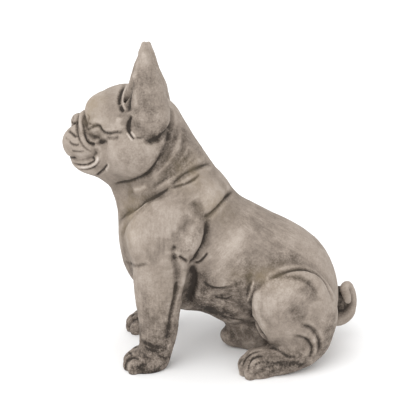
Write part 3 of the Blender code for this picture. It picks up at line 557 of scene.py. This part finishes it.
def thigh_creases(clay):
    outer = [(14.8, 30.9), (17, 31.9), (19.2, 33), (21.9, 33.9), (25, 34.2), (28, 33.5), (30.4, 32),
             (32.5, 29.6), (34, 26.5), (35.1, 23)]
    clay.draw(outer, 0.9, 0.75, roll=-0.3, wash_and_shade=0.3)
    clay.draw(outer[:7], 0.35, 0.2, wash_and_shade=0.7)
    inner = [(17.6, 31.1), (20.3, 31.5), (23.4, 31.3), (26, 30.3), (28.3, 28.4), (29.8, 25.8)]
    clay.draw(inner, 0.8, 0.35, roll=-0.3, wash_and_shade=0.3)
    clay.draw([(26, 29.4), (28, 26.6), (29, 23)], 1.8, 0.3, wash_and_shade=0.2)
    front = [(14.8, 30.8), (12.4, 29.3), (10.2, 27.2), (9.4, 23.8), (9.9, 20.2), (11.3, 16.8), (12.8, 13.9),
             (14.6, 11), (14.6, 9)]
    clay.draw(front, 1.0, 0.7, wash_and_shade=0.3)
    clay.draw([(10.7, 30.6), (10.1, 28.5), (9.2, 25.5), (8.6, 23)], 0.35, -0.24, wash_and_shade=-0.7)
    clay.draw([(9.8, 30.4), (9, 28.2), (8.3, 25.4)], 0.4, 0.2, wash_and_shade=0.6)
    clay.draw([(21, 22), (24, 19.6), (27, 18.4)], 2.4, 0.35, wash_and_shade=0.12)


def hock_creases(clay):
    outer = [(25, 15.9), (27.7, 15.1), (29.7, 13.2), (31, 10.6), (31.2, 8), (30.6, 5)]
    clay.draw(outer, 0.7, 0.4, roll=0.5, wash_and_shade=0.45)
    inner = [(23.2, 12.2), (25.6, 11.7), (27.6, 10.6), (28.8, 8.6), (28.9, 6.4), (28, 4.6)]
    clay.draw(inner, 0.6, 0.35, roll=0.4, wash_and_shade=0.45)
    clay.draw([(15.4, 8.4), (17.6, 8), (19.6, 6.8), (21.4, 5.5), (24.2, 5)], 0.5, 0.27, roll=-0.3, wash_and_shade=0.6)
    clay.draw([(24, 6.8), (25.8, 5.6), (24.6, 4.8)], 0.4, 0.17, wash_and_shade=0.4)
    clay.draw([(14.6, 2.4), (17.7, 2.9), (21.1, 2.8), (24.6, 2.3), (27.5, 1.8)], 0.8, 0.35, wash_and_shade=0.6)


def toe_creases(clay):
    clay.draw([(7.4, 1.2), (7.9, 3.6), (9.1, 5.6), (11, 6.9), (13.8, 7.5)], 0.4, 0.27, wash_and_shade=0.8)
    clay.draw([(9.2, 0.4), (9.6, 2.6), (10.4, 4.5), (12, 5.4), (14.6, 5.9)], 0.4, 0.27, wash_and_shade=0.8)
    clay.draw([(11.2, 0.4), (11.4, 2), (12.6, 3.3), (15.2, 3.9)], 0.4, 0.27, wash_and_shade=0.7)
    fore_toe = [(-28.4, 1.6), (-28.4, 3.2), (-28, 4.6), (-27.2, 5.6), (-26, 6), (-24.8, 5.8), (-23.8, 5)]
    clay.draw(fore_toe, 0.4, 0.27, wash_and_shade=0.8)
    clay.draw([(-28.8, 7.4), (-27.6, 8.1), (-26.6, 7.4), (-26.2, 6.4)], 0.4, 0.2, wash_and_shade=0.7)
    clay.draw([(-26.6, 2.4), (-25.2, 3), (-23.6, 2.2)], 0.4, 0.17, wash_and_shade=0.5)


# Strokes that have no depth, by the plane on which they are given: a width, a share of wash and painted
# shade, and the points

# where the wash stays, and painted shade under the ears and the belly, at the back of the neck, behind the
# elbows and along the back
STAINS_AND_SHADE = {
    HEAD_PLANE: [
        (2.4, 0.3, [(-15, 80), (-14.6, 74), (-15.6, 69), (-18.4, 64.6)]),
        (1.8, 0.3, [(-20, 74.6), (-17, 74.6), (-14.8, 77)]),
        (2.2, 0.3, [(-11, 78), (-8, 72), (-3, 66.5)]),
        (1.5, 0.3, [(-24, 82), (-23.6, 78), (-22, 75.4)]),
        (3.4, 0.3, [(-21, 94), (-21.4, 87), (-20.6, 80)]),
        (3.6, 0.22, [(-29, 70), (-25, 66.4), (-20, 66)]),
        (3.0, 0.2, [(-11, 69), (-13, 65), (-16, 60.6)]),
        (3.2, 0.3, [(-19, 83), (-18.6, 77)]),
        (3.0, 0.3, [(-8, 70), (-10, 64), (-15, 60)]),
        (0.7, 0.5, [(-38.4, 78), (-38.2, 74)]),
    ],
    BODY_PLANE: [
        (1.6, 0.25, [(-28.6, 47), (-28, 42), (-27.4, 38)]),
        (2.4, 0.12, [(-6.5, 54), (-8.5, 50), (-11, 46), (-12.6, 42)]),
        (1.3, 0.6, [(-8.4, 36), (-7.4, 32), (-8, 28), (-9, 22)]),
        (2.2, 0.5, [(-6, 34), (-3.5, 31), (-5, 26), (-7, 20)]),
        (3.4, 0.55, [(-6, 23), (0, 20), (6, 18)]),
        (2.0, 0.4, [(-8, 23), (-2, 21.5), (3, 19.5)]),
        (3.0, 0.3, [(1.5, 17.2), (4.3, 12.6), (8, 9.8)]),
        (1.9, 0.1, [(12, 32), (8.6, 28), (7.8, 22), (9, 16), (12, 11)]),
        (2.6, 0.3, [(14, 36), (20, 37.6), (26, 37)]),
        (2.0, 0.3, [(15, 29), (20, 31.6), (25, 30.6)]),
        (2.6, 0.25, [(6, 34), (10, 35)]),
        (3.4, 0.4, [(8, 3), (16, 3), (24, 2), (30, 4)]),
        (3.0, 0.4, [(33, 6), (34.6, 12), (35, 22)]),
        (4.4, 0.08, [(18, 25), (24, 21), (31, 14)]),
        (2.6, 0.12, [(21, 21), (25, 18)]),
        (3.2, 0.7, [(-27, 3), (-21, 1), (-16, 2)]),
        (2.2, 0.5, [(-23, 9.6), (-19, 8.6), (-15, 8)]),
        (1.3, 0.3, [(-14.6, 24), (-15.4, 17), (-16, 11)]),
        (4.4, 0.15, [(-19, 34), (-19.4, 24), (-19.8, 10)]),
        (3.0, 0.4, [(-29.6, 44), (-28, 38), (-25, 32)]),
        (1.6, 0.4, [(-2.7, 52), (-5.6, 46.5), (-8.4, 42), (-10.8, 38.6)]),
        (4.4, 0.12, [(0, 54), (12, 47), (24, 38), (32, 28)]),
        (4.0, 0.12, [(0, 36), (6, 37), (11, 33)]),
        (1.0, 0.3, [(-24.6, 24), (-23.8, 17), (-23.6, 11)]),
        (1.4, 0.2, [(37.3, 25.6), (38.1, 21.9), (39.6, 20.9)]),
    ],
}

# and where it is rubbed away, with painted highlights on the brow, the front of the shoulders and the tops of
# the thighs
RUBS_AND_HIGHLIGHTS = {
    HEAD_PLANE: [
        (2.0, -0.5, [(-35.6, 79.6), (-33.4, 78.2), (-31, 78.4)]),
        (1.2, -0.4, [(-31, 77), (-29.4, 76.4)]),
        (0.8, -0.5, [(-35.6, 74.8), (-34.2, 74)]),
        (0.7, -0.5, [(-23.4, 93), (-23.8, 89)]),
        (0.6, -0.5, [(-23.6, 86), (-23.4, 82)]),
        (1.2, -0.5, [(-21, 98), (-20.4, 94)]),
        (1.0, -0.3, [(-38, 67.4), (-41, 67.4)]),
    ],
    BODY_PLANE: [
        (2.8, -0.45, [(-24.6, 48), (-24, 43), (-22.6, 40)]),
        (1.8, -0.45, [(-8.6, 45), (-8.8, 41)]),
        (1.4, -0.3, [(-20.4, 35), (-20.2, 29), (-19.8, 22)]),
        (0.9, -0.5, [(-10, 34), (-10.4, 29)]),
        (3.0, -0.3, [(-1, 40), (4, 43), (8, 46)]),
        (2.2, -0.3, [(-4, 58), (-1, 56)]),
        (1.1, -0.55, [(12.6, 27), (11.4, 23), (12.4, 18), (15, 14)]),
        (3.0, -0.35, [(16, 27), (20, 28), (23, 26)]),
        (0.7, -0.5, [(29.4, 12.6), (29.8, 9)]),
        (0.6, -0.4, [(9, 3.2), (11.4, 4.4)]),
    ],
}


def tinted(clay):
    # the stains and rubs, laid on as strokes without depth, hold painted shade and painted highlights beside
    # the wash and its wear
    for strokes in (STAINS_AND_SHADE, RUBS_AND_HIGHLIGHTS):
        for plane, rows in strokes.items():
            for width, wash_and_shade, points in rows:
                clay.draw(points, width, 0, plane, wash_and_shade=wash_and_shade)


def modelled():
    """The whole figure in clay, with every stroke settled on it."""
    clay = Clay()
    torso(clay)
    neck(clay)
    groin(clay)
    for side in SIDES:
        hind_leg(clay, side)
        foreleg(clay, side)
    tail(clay)
    clay.frame = HEAD_FRAME
    skull(clay)
    muzzle(clay)
    for side in SIDES:
        eye(clay, side)
        ear(clay, side)
    for carve in (brow_creases, nose_creases, mouth_creases, front_creases, ear_creases, cheek_creases):
        carve(clay)
    clay.frame = BODY_FRAME
    for carve in (neck_folds, shoulder_creases, foreleg_creases, belly_creases, thigh_creases, hock_creases,
                  toe_creases):
        carve(clay)
    tinted(clay)
    clay.settle()
    return clay


# The skin of the clay


def blank_mesh(clay):
    """The masses as plain balls, to be fused by the first remeshing."""
    bm = bmesh.new()
    for mass, frame_, _, adds in clay.work:
        if not adds:
            continue
        for centre, turn, radii in mass.blanks():
            spot = Matrix.Translation(Vector(frame_.outward(centre)))
            place = spot @ Matrix(frame_.turn @ turn).to_4x4() @ Matrix.Diagonal((*radii, 1))
            bmesh.ops.create_icosphere(bm, subdivisions=2, radius=1, matrix=place)
    mesh = bpy.data.meshes.new("clay")
    bm.to_mesh(mesh)
    bm.free()
    return mesh


def with_modifier(mesh, kind, **settings):
    """The mesh as one modifier leaves it."""
    blank = bpy.data.objects.new("blank", mesh)
    bpy.context.scene.collection.objects.link(blank)
    modifier = blank.modifiers.new(kind.lower(), kind)
    for name, value in settings.items():
        setattr(modifier, name, value)
    made = bpy.data.meshes.new_from_object(blank.evaluated_get(bpy.context.evaluated_depsgraph_get()))
    bpy.data.objects.remove(blank)
    return made


def read(data, name, count, size):
    """One value of each of so many things of a mesh, as rows of that size."""
    out = np.empty(count * size, np.float32)
    data.foreach_get(name, out)
    return out.reshape(-1, size).astype(float)


def coordinates(mesh):
    return read(mesh.vertices, "co", len(mesh.vertices), 3)


def normals(mesh):
    return read(mesh.vertex_normals, "vector", len(mesh.vertices), 3)


def moved(mesh, co):
    mesh.vertices.foreach_set("co", co.astype(np.float32).ravel())
    mesh.update()


def edge_ends(mesh):
    """The vertices at the two ends of every edge."""
    edges = np.empty(len(mesh.edges) * 2, np.int32)
    mesh.edges.foreach_get("vertices", edges)
    return edges.reshape(-1, 2).T


def spread(co, ends):
    """The middle of each vertex's neighbours."""
    a, b = ends
    n = len(co)
    neighbours = np.bincount(a, minlength=n) + np.bincount(b, minlength=n)
    sums = [np.bincount(a, c[b], n) + np.bincount(b, c[a], n) for c in co.T]
    return np.stack(sums, 1) / np.maximum(neighbours, 1)[:, None]


def pressed(mesh, clay, grain, presses):
    """The skin moved along its normals onto the clay, and evened out in between."""
    ends = edge_ends(mesh)
    for press in range(presses):
        co = coordinates(mesh)
        if press + ROUGH_PRESSES < presses:
            co = (co + spread(co, ends)) / 2
            moved(mesh, co)
        step = np.clip(clay.field(co), -PRESS_LIMIT * grain, PRESS_LIMIT * grain)
        moved(mesh, co - normals(mesh) * step[:, None])


def sculpted(clay):
    """The clay's skin, fused from coarse to fine and then thinned."""
    mesh = blank_mesh(clay)
    for grain, presses in GRAINS:
        mesh = with_modifier(mesh, "REMESH", mode="VOXEL", voxel_size=grain)
        pressed(mesh, clay, grain, presses)
    mesh.calc_loop_triangles()
    share = TRIANGLES / len(mesh.loop_triangles)
    mesh = with_modifier(mesh, "DECIMATE", ratio=share, use_collapse_triangulate=True)
    pressed(mesh, clay, GRAINS[-1][0], 1)
    return mesh


def cut_flat(mesh):
    """Shaves off what lies below the ground and closes the soles."""
    bm = bmesh.new()
    bm.from_mesh(mesh)
    for vert in bm.verts:
        if abs(vert.co.z) < SOLE_SNAP:
            vert.co.z = 0
    whole = bm.verts[:] + bm.edges[:] + bm.faces[:]
    cut = bmesh.ops.bisect_plane(bm, geom=whole, plane_co=(0, 0, 0), plane_no=(0, 0, 1), clear_inner=True)
    rims = [e for e in cut["geom_cut"] if isinstance(e, bmesh.types.BMEdge)]
    bmesh.ops.edgeloop_fill(bm, edges=rims)
    bmesh.ops.triangulate(bm, faces=bm.faces[:])
    bmesh.ops.recalc_face_normals(bm, faces=bm.faces[:])
    bm.to_mesh(mesh)
    bm.free()


# The weathering of the cast, and its painted shade and highlights

# the directions in which the coat was brushed: the turn about Y that brings X along each, in degrees
BRUSHES = {"back": 0, "rising": -45, "up": -90, "falling": 38}
UNBRUSHED = 0.25  # where the brush is felt less than this, its marks fade

# where each of them lies: a place and how far it reaches, alike on both sides
BRUSHED = [
    ("up", (-20, 12, 90), 9), ("rising", (-27, 8, 80), 6), ("rising", (-13, 12, 66), 9),
    ("up", (-19, 14, 46), 11), ("rising", (-8, 14, 54), 8), ("up", (-8, 16, 40), 7),
    ("up", (-18, 14, 20), 14), ("rising", (3, 17, 37), 10), ("back", (6, 15, 26), 8),
    ("falling", (18, 8, 44), 13), ("up", (15, 20, 22), 8), ("rising", (23, 20, 26), 8),
    ("falling", (30, 14, 18), 9), ("back", (15, 19, 4), 9), ("back", (0, 8, 20), 9),
    ("up", (43, 0, 14), 4), ("back", (-24, 14, 2), 7), ("up", (10, 4, 8), 8),
]

# where rain and dirt have darkened the cast, with painted shade under the belly, between the hind legs and
# beneath the ears and jaw: a place, radii and a strength, alike on both sides
SOIL_AND_SHADE = [
    ((-20, 12, 1), (12, 9, 10), 1.0), ((-15, 14, 12), (5, 8, 7), 0.35), ((12, 19, 1), (16, 9, 6), 0.6),
    ((6, 0, 10), (16, 16, 9), 0.35), ((-1, 8, 20), (14, 12, 7), 0.5), ((6, 17, 26), (6, 8, 6), 0.3),
    ((-18, 14, 74), (6, 6, 3.4), 0.25), ((-24, 10, 56), (9, 10, 4), 0.12), ((31, 14, 5), (7, 10, 8), 0.4),
    ((41, 2, 15), (2.6, 4, 5), 0.4), ((14, 16, 30), (9, 6, 5), 0.3),
]

# where the wash has an ochre tinge, in the same way
TINGED = [
    ((-36, 5, 80), (4, 6, 5), 0.8), ((-24, 9, 47), (6, 6, 9), 0.8), ((14, 17, 31), (9, 6, 3), 0.6),
    ((-8, 12, 62), (7, 7, 6), 0.5), ((2, 15, 52), (6, 7, 5), 0.6), ((-17, 14, 27), (4, 6, 8), 0.3),
]

# over how many rings of neighbours a hollow is felt, narrow ones and broad ones
NARROW, BROAD = 6, 100

# how deep a hollow lies in its surroundings, or how far a height stands out: hardly told, and fully told; the
# broad hollows' range sets their painted shade
CREASE, HOLLOW_SHADE = (0.03, 0.2), (0.1, 1.0)
RIDGE, SWELL = (0.02, 0.14), (0.1, 0.8)
SWELL_WEAR = 0.5  # how much a broad height is worn, where a narrow one is worn whole

RELIEF = ((2.6, 0.08), (1.1, 0.05), (0.5, 0.03))  # unevenness of the cast: its size and its height
SOLE_CALM = 0.4  # below this height the soles stay flat


def uneven(co):
    """How far the cast stands out at each point."""
    out = np.zeros(len(co))
    for size, height in RELIEF:
        out += [height * noise.noise(Vector(p)) for p in co / size]
    return out


def curvature(co, out, ends, passes):
    """How deep each vertex lies in its surroundings, positive in a hollow."""
    flat = co
    for _ in range(passes):
        flat = spread(flat, ends)
    return ((flat - co) * out).sum(1)


def mask(values, low, high):
    """A soft step from 0 at the low value to 1 at the high one."""
    t = np.clip((values - low) / (high - low), 0, 1)
    return t * t * (3 - 2 * t)


def one_side(co):
    """The points with those of the right side laid over the left."""
    return np.abs(co * (0, 1, 0)) + co * (1, 0, 1)


def patches(co, spots):
    """How far each point is covered by soft patches."""
    bare = np.ones(len(co))
    for place, radii, strength in spots:
        away = (((one_side(co) - place) / np.array(radii)) ** 2).sum(1)
        bare *= 1 - strength * np.exp(-away)
    return 1 - bare


def written(mesh, name, values):
    attribute = mesh.attributes.new(name, "FLOAT", "POINT")
    attribute.data.foreach_set("value", values.astype(np.float32))


def brushed(mesh, co):
    """Writes how strongly each direction of the brush is felt."""
    felt = {name: np.zeros(len(co)) for name in BRUSHES}
    for name, place, reach in BRUSHED:
        felt[name] += np.exp(-2 * ((one_side(co) - place) ** 2).sum(1) / reach**2)
    total = sum(f**2 for f in felt.values()) + UNBRUSHED**2
    for name, f in felt.items():
        written(mesh, "brush_" + name, f**2 / total)


def weathered(mesh, clay):
    """Gives the skin its unevenness and writes where wash, dirt, wear, painted shade, painted highlights and
    brush marks lie.
    """
    ends = edge_ends(mesh)
    co, out = coordinates(mesh), normals(mesh)
    wash_and_shade, rubbed_and_highlit = clay.washed_and_shaded(co)
    fine, broad = curvature(co, out, ends, NARROW), curvature(co, out, ends, BROAD)
    # the wash also holds painted shade from the stains and the crease under the ear, and the rubbing painted
    # highlights from the rubs
    written(mesh, "wash_and_shade", wash_and_shade)
    written(mesh, "rubbed_and_highlit", rubbed_and_highlit)
    written(mesh, "crease", mask(fine, *CREASE))
    # painted shade: broad hollows are darkened as if light reached them less, along with the wash that
    # gathers there
    written(mesh, "hollow", mask(broad, *HOLLOW_SHADE))
    written(mesh, "worn", np.clip(mask(-fine, *RIDGE) + SWELL_WEAR * mask(-broad, *SWELL), 0, 1))
    # dirt, with painted shade under the belly, between the hind legs and beneath the ears and jaw
    written(mesh, "soil_and_shade", patches(co, SOIL_AND_SHADE))
    written(mesh, "tinge", patches(co, TINGED))
    brushed(mesh, co)
    raised = uneven(co)
    raised[co[:, 2] < SOLE_CALM] = 0
    moved(mesh, co + out * raised[:, None])


def fitted(mesh, low, high):
    """The figure brought exactly into the solid's box."""
    co = coordinates(mesh)
    own_low, own_high = co.min(0), co.max(0)
    low, high = np.array(low), np.array(high)
    moved(mesh, low + (co - own_low) * (high - low) / (own_high - own_low))


# The paint


class Paint:
    """A material's nodes, each made where it is used."""

    def __init__(self, name):
        self.material = bpy.data.materials.new(name)
        self.material.use_nodes = True
        self.tree = self.material.node_tree
        self.shader = self.tree.nodes["Principled BSDF"]
        self.place = self.tree.nodes.new("ShaderNodeTexCoord").outputs["Object"]

    def node(self, kind, inputs=(), **settings):
        made = self.tree.nodes.new("ShaderNode" + kind)
        for name, value in settings.items():
            setattr(made, name, value)
        for name, value in dict(inputs).items():
            if isinstance(value, bpy.types.NodeSocket):
                self.tree.links.new(value, made.inputs[name])
            else:
                made.inputs[name].default_value = value
        return made

    def attribute(self, name):
        return self.node("Attribute", attribute_name=name).outputs["Fac"]

    def noise(self, scale, detail, roughness, turn=0.0, length=1.0):
        """Noise about 0 that is drawn out to length along the turned X axis."""
        rotation = (0, math.radians(turn), 0)
        place = self.node("Mapping", {"Vector": self.place, "Rotation": rotation, "Scale": (length, 1, 1)},
                          vector_type="TEXTURE").outputs["Vector"]
        inputs = {"Vector": place, "Scale": scale, "Detail": detail, "Roughness": roughness}
        return self.math("SUBTRACT", self.node("TexNoise", inputs).outputs["Fac"], 0.5)

    def math(self, operation, a, b=0.0, c=0.0):
        return self.node("Math", {0: a, 1: b, 2: c}, operation=operation).outputs[0]

    def added(self, total, *shares):
        """The total with each value added as many times as is said."""
        for value, times in shares:
            total = self.math("MULTIPLY_ADD", value, times, total)
        return total

    def between(self, value, low, high, to_low, to_high):
        """A soft step of the value's range to another."""
        inputs = {"Value": value, "From Min": low, "From Max": high, "To Min": to_low, "To Max": to_high}
        return self.node("MapRange", inputs, interpolation_type="SMOOTHSTEP").outputs["Result"]

    def ramp(self, value, stops):
        """The colour that the stops give at the value."""
        made = self.node("ValToRGB", {"Fac": value})
        steps = made.color_ramp.elements
        for _ in stops[2:]:
            steps.new(0.5)
        for step, (at, shade) in zip(steps, stops):
            step.position, step.color = at, shade
        return made.outputs["Color"]

    def mixed(self, amount, a, b):
        """A share of colour b laid over colour a."""
        return self.node("Mix", {"Factor": amount, 6: a, 7: b}, data_type="RGBA").outputs[2]


def colour(r, g, b):
    return (r, g, b, 1.0)


# the stone under more and more of the wash and the painted shade
WASHED_AND_SHADED_STONE = [
    (0.0, colour(0.60, 0.545, 0.495)), (0.25, colour(0.43, 0.37, 0.32)), (0.5, colour(0.27, 0.224, 0.186)),
    (0.75, colour(0.125, 0.1, 0.081)), (1.0, colour(0.036, 0.028, 0.022)),
]
OCHRE = colour(0.30, 0.235, 0.15)
OCHRE_SHARE = (0.2, 0.7)  # how much of it a tinge lays on, between the mottle's low and high spots

# the noises of the paint: how many to a metre, how finely they break up and how rough they are
CLOUD, MOTTLE, GRIT = (15, 3, 0.5), (80, 4, 0.6), (420, 3, 0.65)
BRISTLES, BRISTLE_LENGTH = (260, 3, 0.6), 7
MOTTLE_RANGE = (-0.2, 0.2)

BARE_TONE = 0.56  # how much of the wash lies on the open surfaces

# how dark the dirt and the painted shade of the underside are, and the wash and painted shade along the
# strokes: all over, by the mottle and by the grit
DIRT_AND_SHADE, LINED = (0.34, 1.7, 0.8), (0.42, 0.8, 0.9)

# how much more of it lies where the skin is hollow, as wash in creases and as painted shade in broad hollows,
# and how much less where it is rubbed or worn, with painted highlights among the rubs
TONE_OF_SHAPE = {"crease": 0.3, "hollow": 0.12, "rubbed_and_highlit": -0.32, "worn": -0.14}

ROUGHNESS = (0.74, 0.9)  # of the stone, from the mottle's low to its high spots
SHINE = 0.3
BUMP, BUMP_HEIGHT = 0.5, 0.0008


def cast_stone():
    paint = Paint("cast stone")
    cloud, mottle, grit = paint.noise(*CLOUD), paint.noise(*MOTTLE), paint.noise(*GRIT)
    marks = 0.0
    for name, turn in BRUSHES.items():
        lines = paint.noise(*BRISTLES, turn, BRISTLE_LENGTH)
        marks = paint.math("MULTIPLY_ADD", paint.attribute("brush_" + name), lines, marks)
    tone = paint.added(BARE_TONE, (cloud, 0.3), (mottle, 0.3), (marks, 0.36), (grit, 0.26))
    for name, (evenly, by_mottle, by_grit) in (("soil_and_shade", DIRT_AND_SHADE), ("wash_and_shade", LINED)):
        dark = paint.added(evenly, (mottle, by_mottle), (grit, by_grit))
        tone = paint.math("MULTIPLY_ADD", paint.attribute(name), dark, tone)
    tone = paint.added(tone, *[(paint.attribute(name), share) for name, share in TONE_OF_SHAPE.items()])
    ochre = paint.between(mottle, *MOTTLE_RANGE, *OCHRE_SHARE)
    ochre = paint.math("MULTIPLY", paint.attribute("tinge"), ochre)
    stone = paint.mixed(ochre, paint.ramp(tone, WASHED_AND_SHADED_STONE), OCHRE)
    height = paint.added(0.0, (marks, 0.8), (grit, 0.5), (mottle, 0.6))
    bump = paint.node("Bump", {"Strength": BUMP, "Distance": BUMP_HEIGHT, "Height": height})
    paint.tree.links.new(stone, paint.shader.inputs["Base Color"])
    paint.tree.links.new(paint.between(mottle, *MOTTLE_RANGE, *ROUGHNESS), paint.shader.inputs["Roughness"])
    paint.tree.links.new(bump.outputs["Normal"], paint.shader.inputs["Normal"])
    paint.shader.inputs["Specular IOR Level"].default_value = SHINE
    return paint.material


def statue():
    clay = modelled()
    mesh = sculpted(clay)
    cut_flat(mesh)
    weathered(mesh, clay)
    low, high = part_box("bulldog_statue")
    fitted(mesh, low, high)
    mesh.name = "weathered_bulldog"
    mesh.shade_smooth()
    mesh.materials.append(cast_stone())
    piece = bpy.data.objects.new("weathered_bulldog", mesh)
    bpy.context.scene.collection.objects.link(piece)
    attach(piece, "root")
    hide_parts("bulldog_statue")


# The studio


def direction(azimuth, elevation):
    """The way to the studio's camera or lamp; azimuth 0 is before the dog's left side."""
    a, e = math.radians(azimuth), math.radians(elevation)
    return Vector((math.sin(a) * math.cos(e), -math.cos(a) * math.cos(e), math.sin(e)))


def placed(thing, spot, aim):
    """Puts a lamp or a camera at a spot and aims it."""
    bpy.context.scene.collection.objects.link(thing)
    thing.location = spot
    thing.rotation_euler = (Vector(aim) - Vector(spot)).to_track_quat("-Z", "Y").to_euler()


def camera():
    lens = bpy.data.cameras.new("camera")
    lens.lens = CAMERA_LENS
    lens.sensor_width = CAMERA_SENSOR
    thing = bpy.data.objects.new("camera", lens)
    spot = Vector(CAMERA_AIM) + direction(CAMERA_AZIMUTH, CAMERA_ELEVATION) * CAMERA_AWAY
    placed(thing, spot, CAMERA_AIM)
    bpy.context.scene.camera = thing


def floor():
    bm = bmesh.new()
    bmesh.ops.create_grid(bm, x_segments=1, y_segments=1, size=FLOOR_SIZE / 2)
    mesh = bpy.data.meshes.new("floor")
    bm.to_mesh(mesh)
    bm.free()
    paint = Paint("pale floor")
    paint.shader.inputs["Base Color"].default_value = PALE
    paint.shader.inputs["Roughness"].default_value = 1.0
    paint.shader.inputs["Specular IOR Level"].default_value = 0.0
    mesh.materials.append(paint.material)
    piece = bpy.data.objects.new("floor", mesh)
    piece.location.z = -FLOOR_CLEAR
    bpy.context.scene.collection.objects.link(piece)


def lights():
    world = bpy.data.worlds.new("studio")
    bpy.context.scene.world = world
    world.use_nodes = True
    background = world.node_tree.nodes["Background"]
    background.inputs["Color"].default_value = colour(1, 1, 1)
    background.inputs["Strength"].default_value = WORLD_LIGHT
    lamp = bpy.data.lights.new("key", "SUN")
    lamp.energy, lamp.angle = KEY_LIGHT, math.radians(KEY_SOFTNESS)
    placed(bpy.data.objects.new("key", lamp), direction(KEY_AZIMUTH, KEY_ELEVATION) * KEY_AWAY, (0, 0, 0))


camera()
floor()
lights()
statue()
bpy.context.scene.view_settings.view_transform = "Standard"
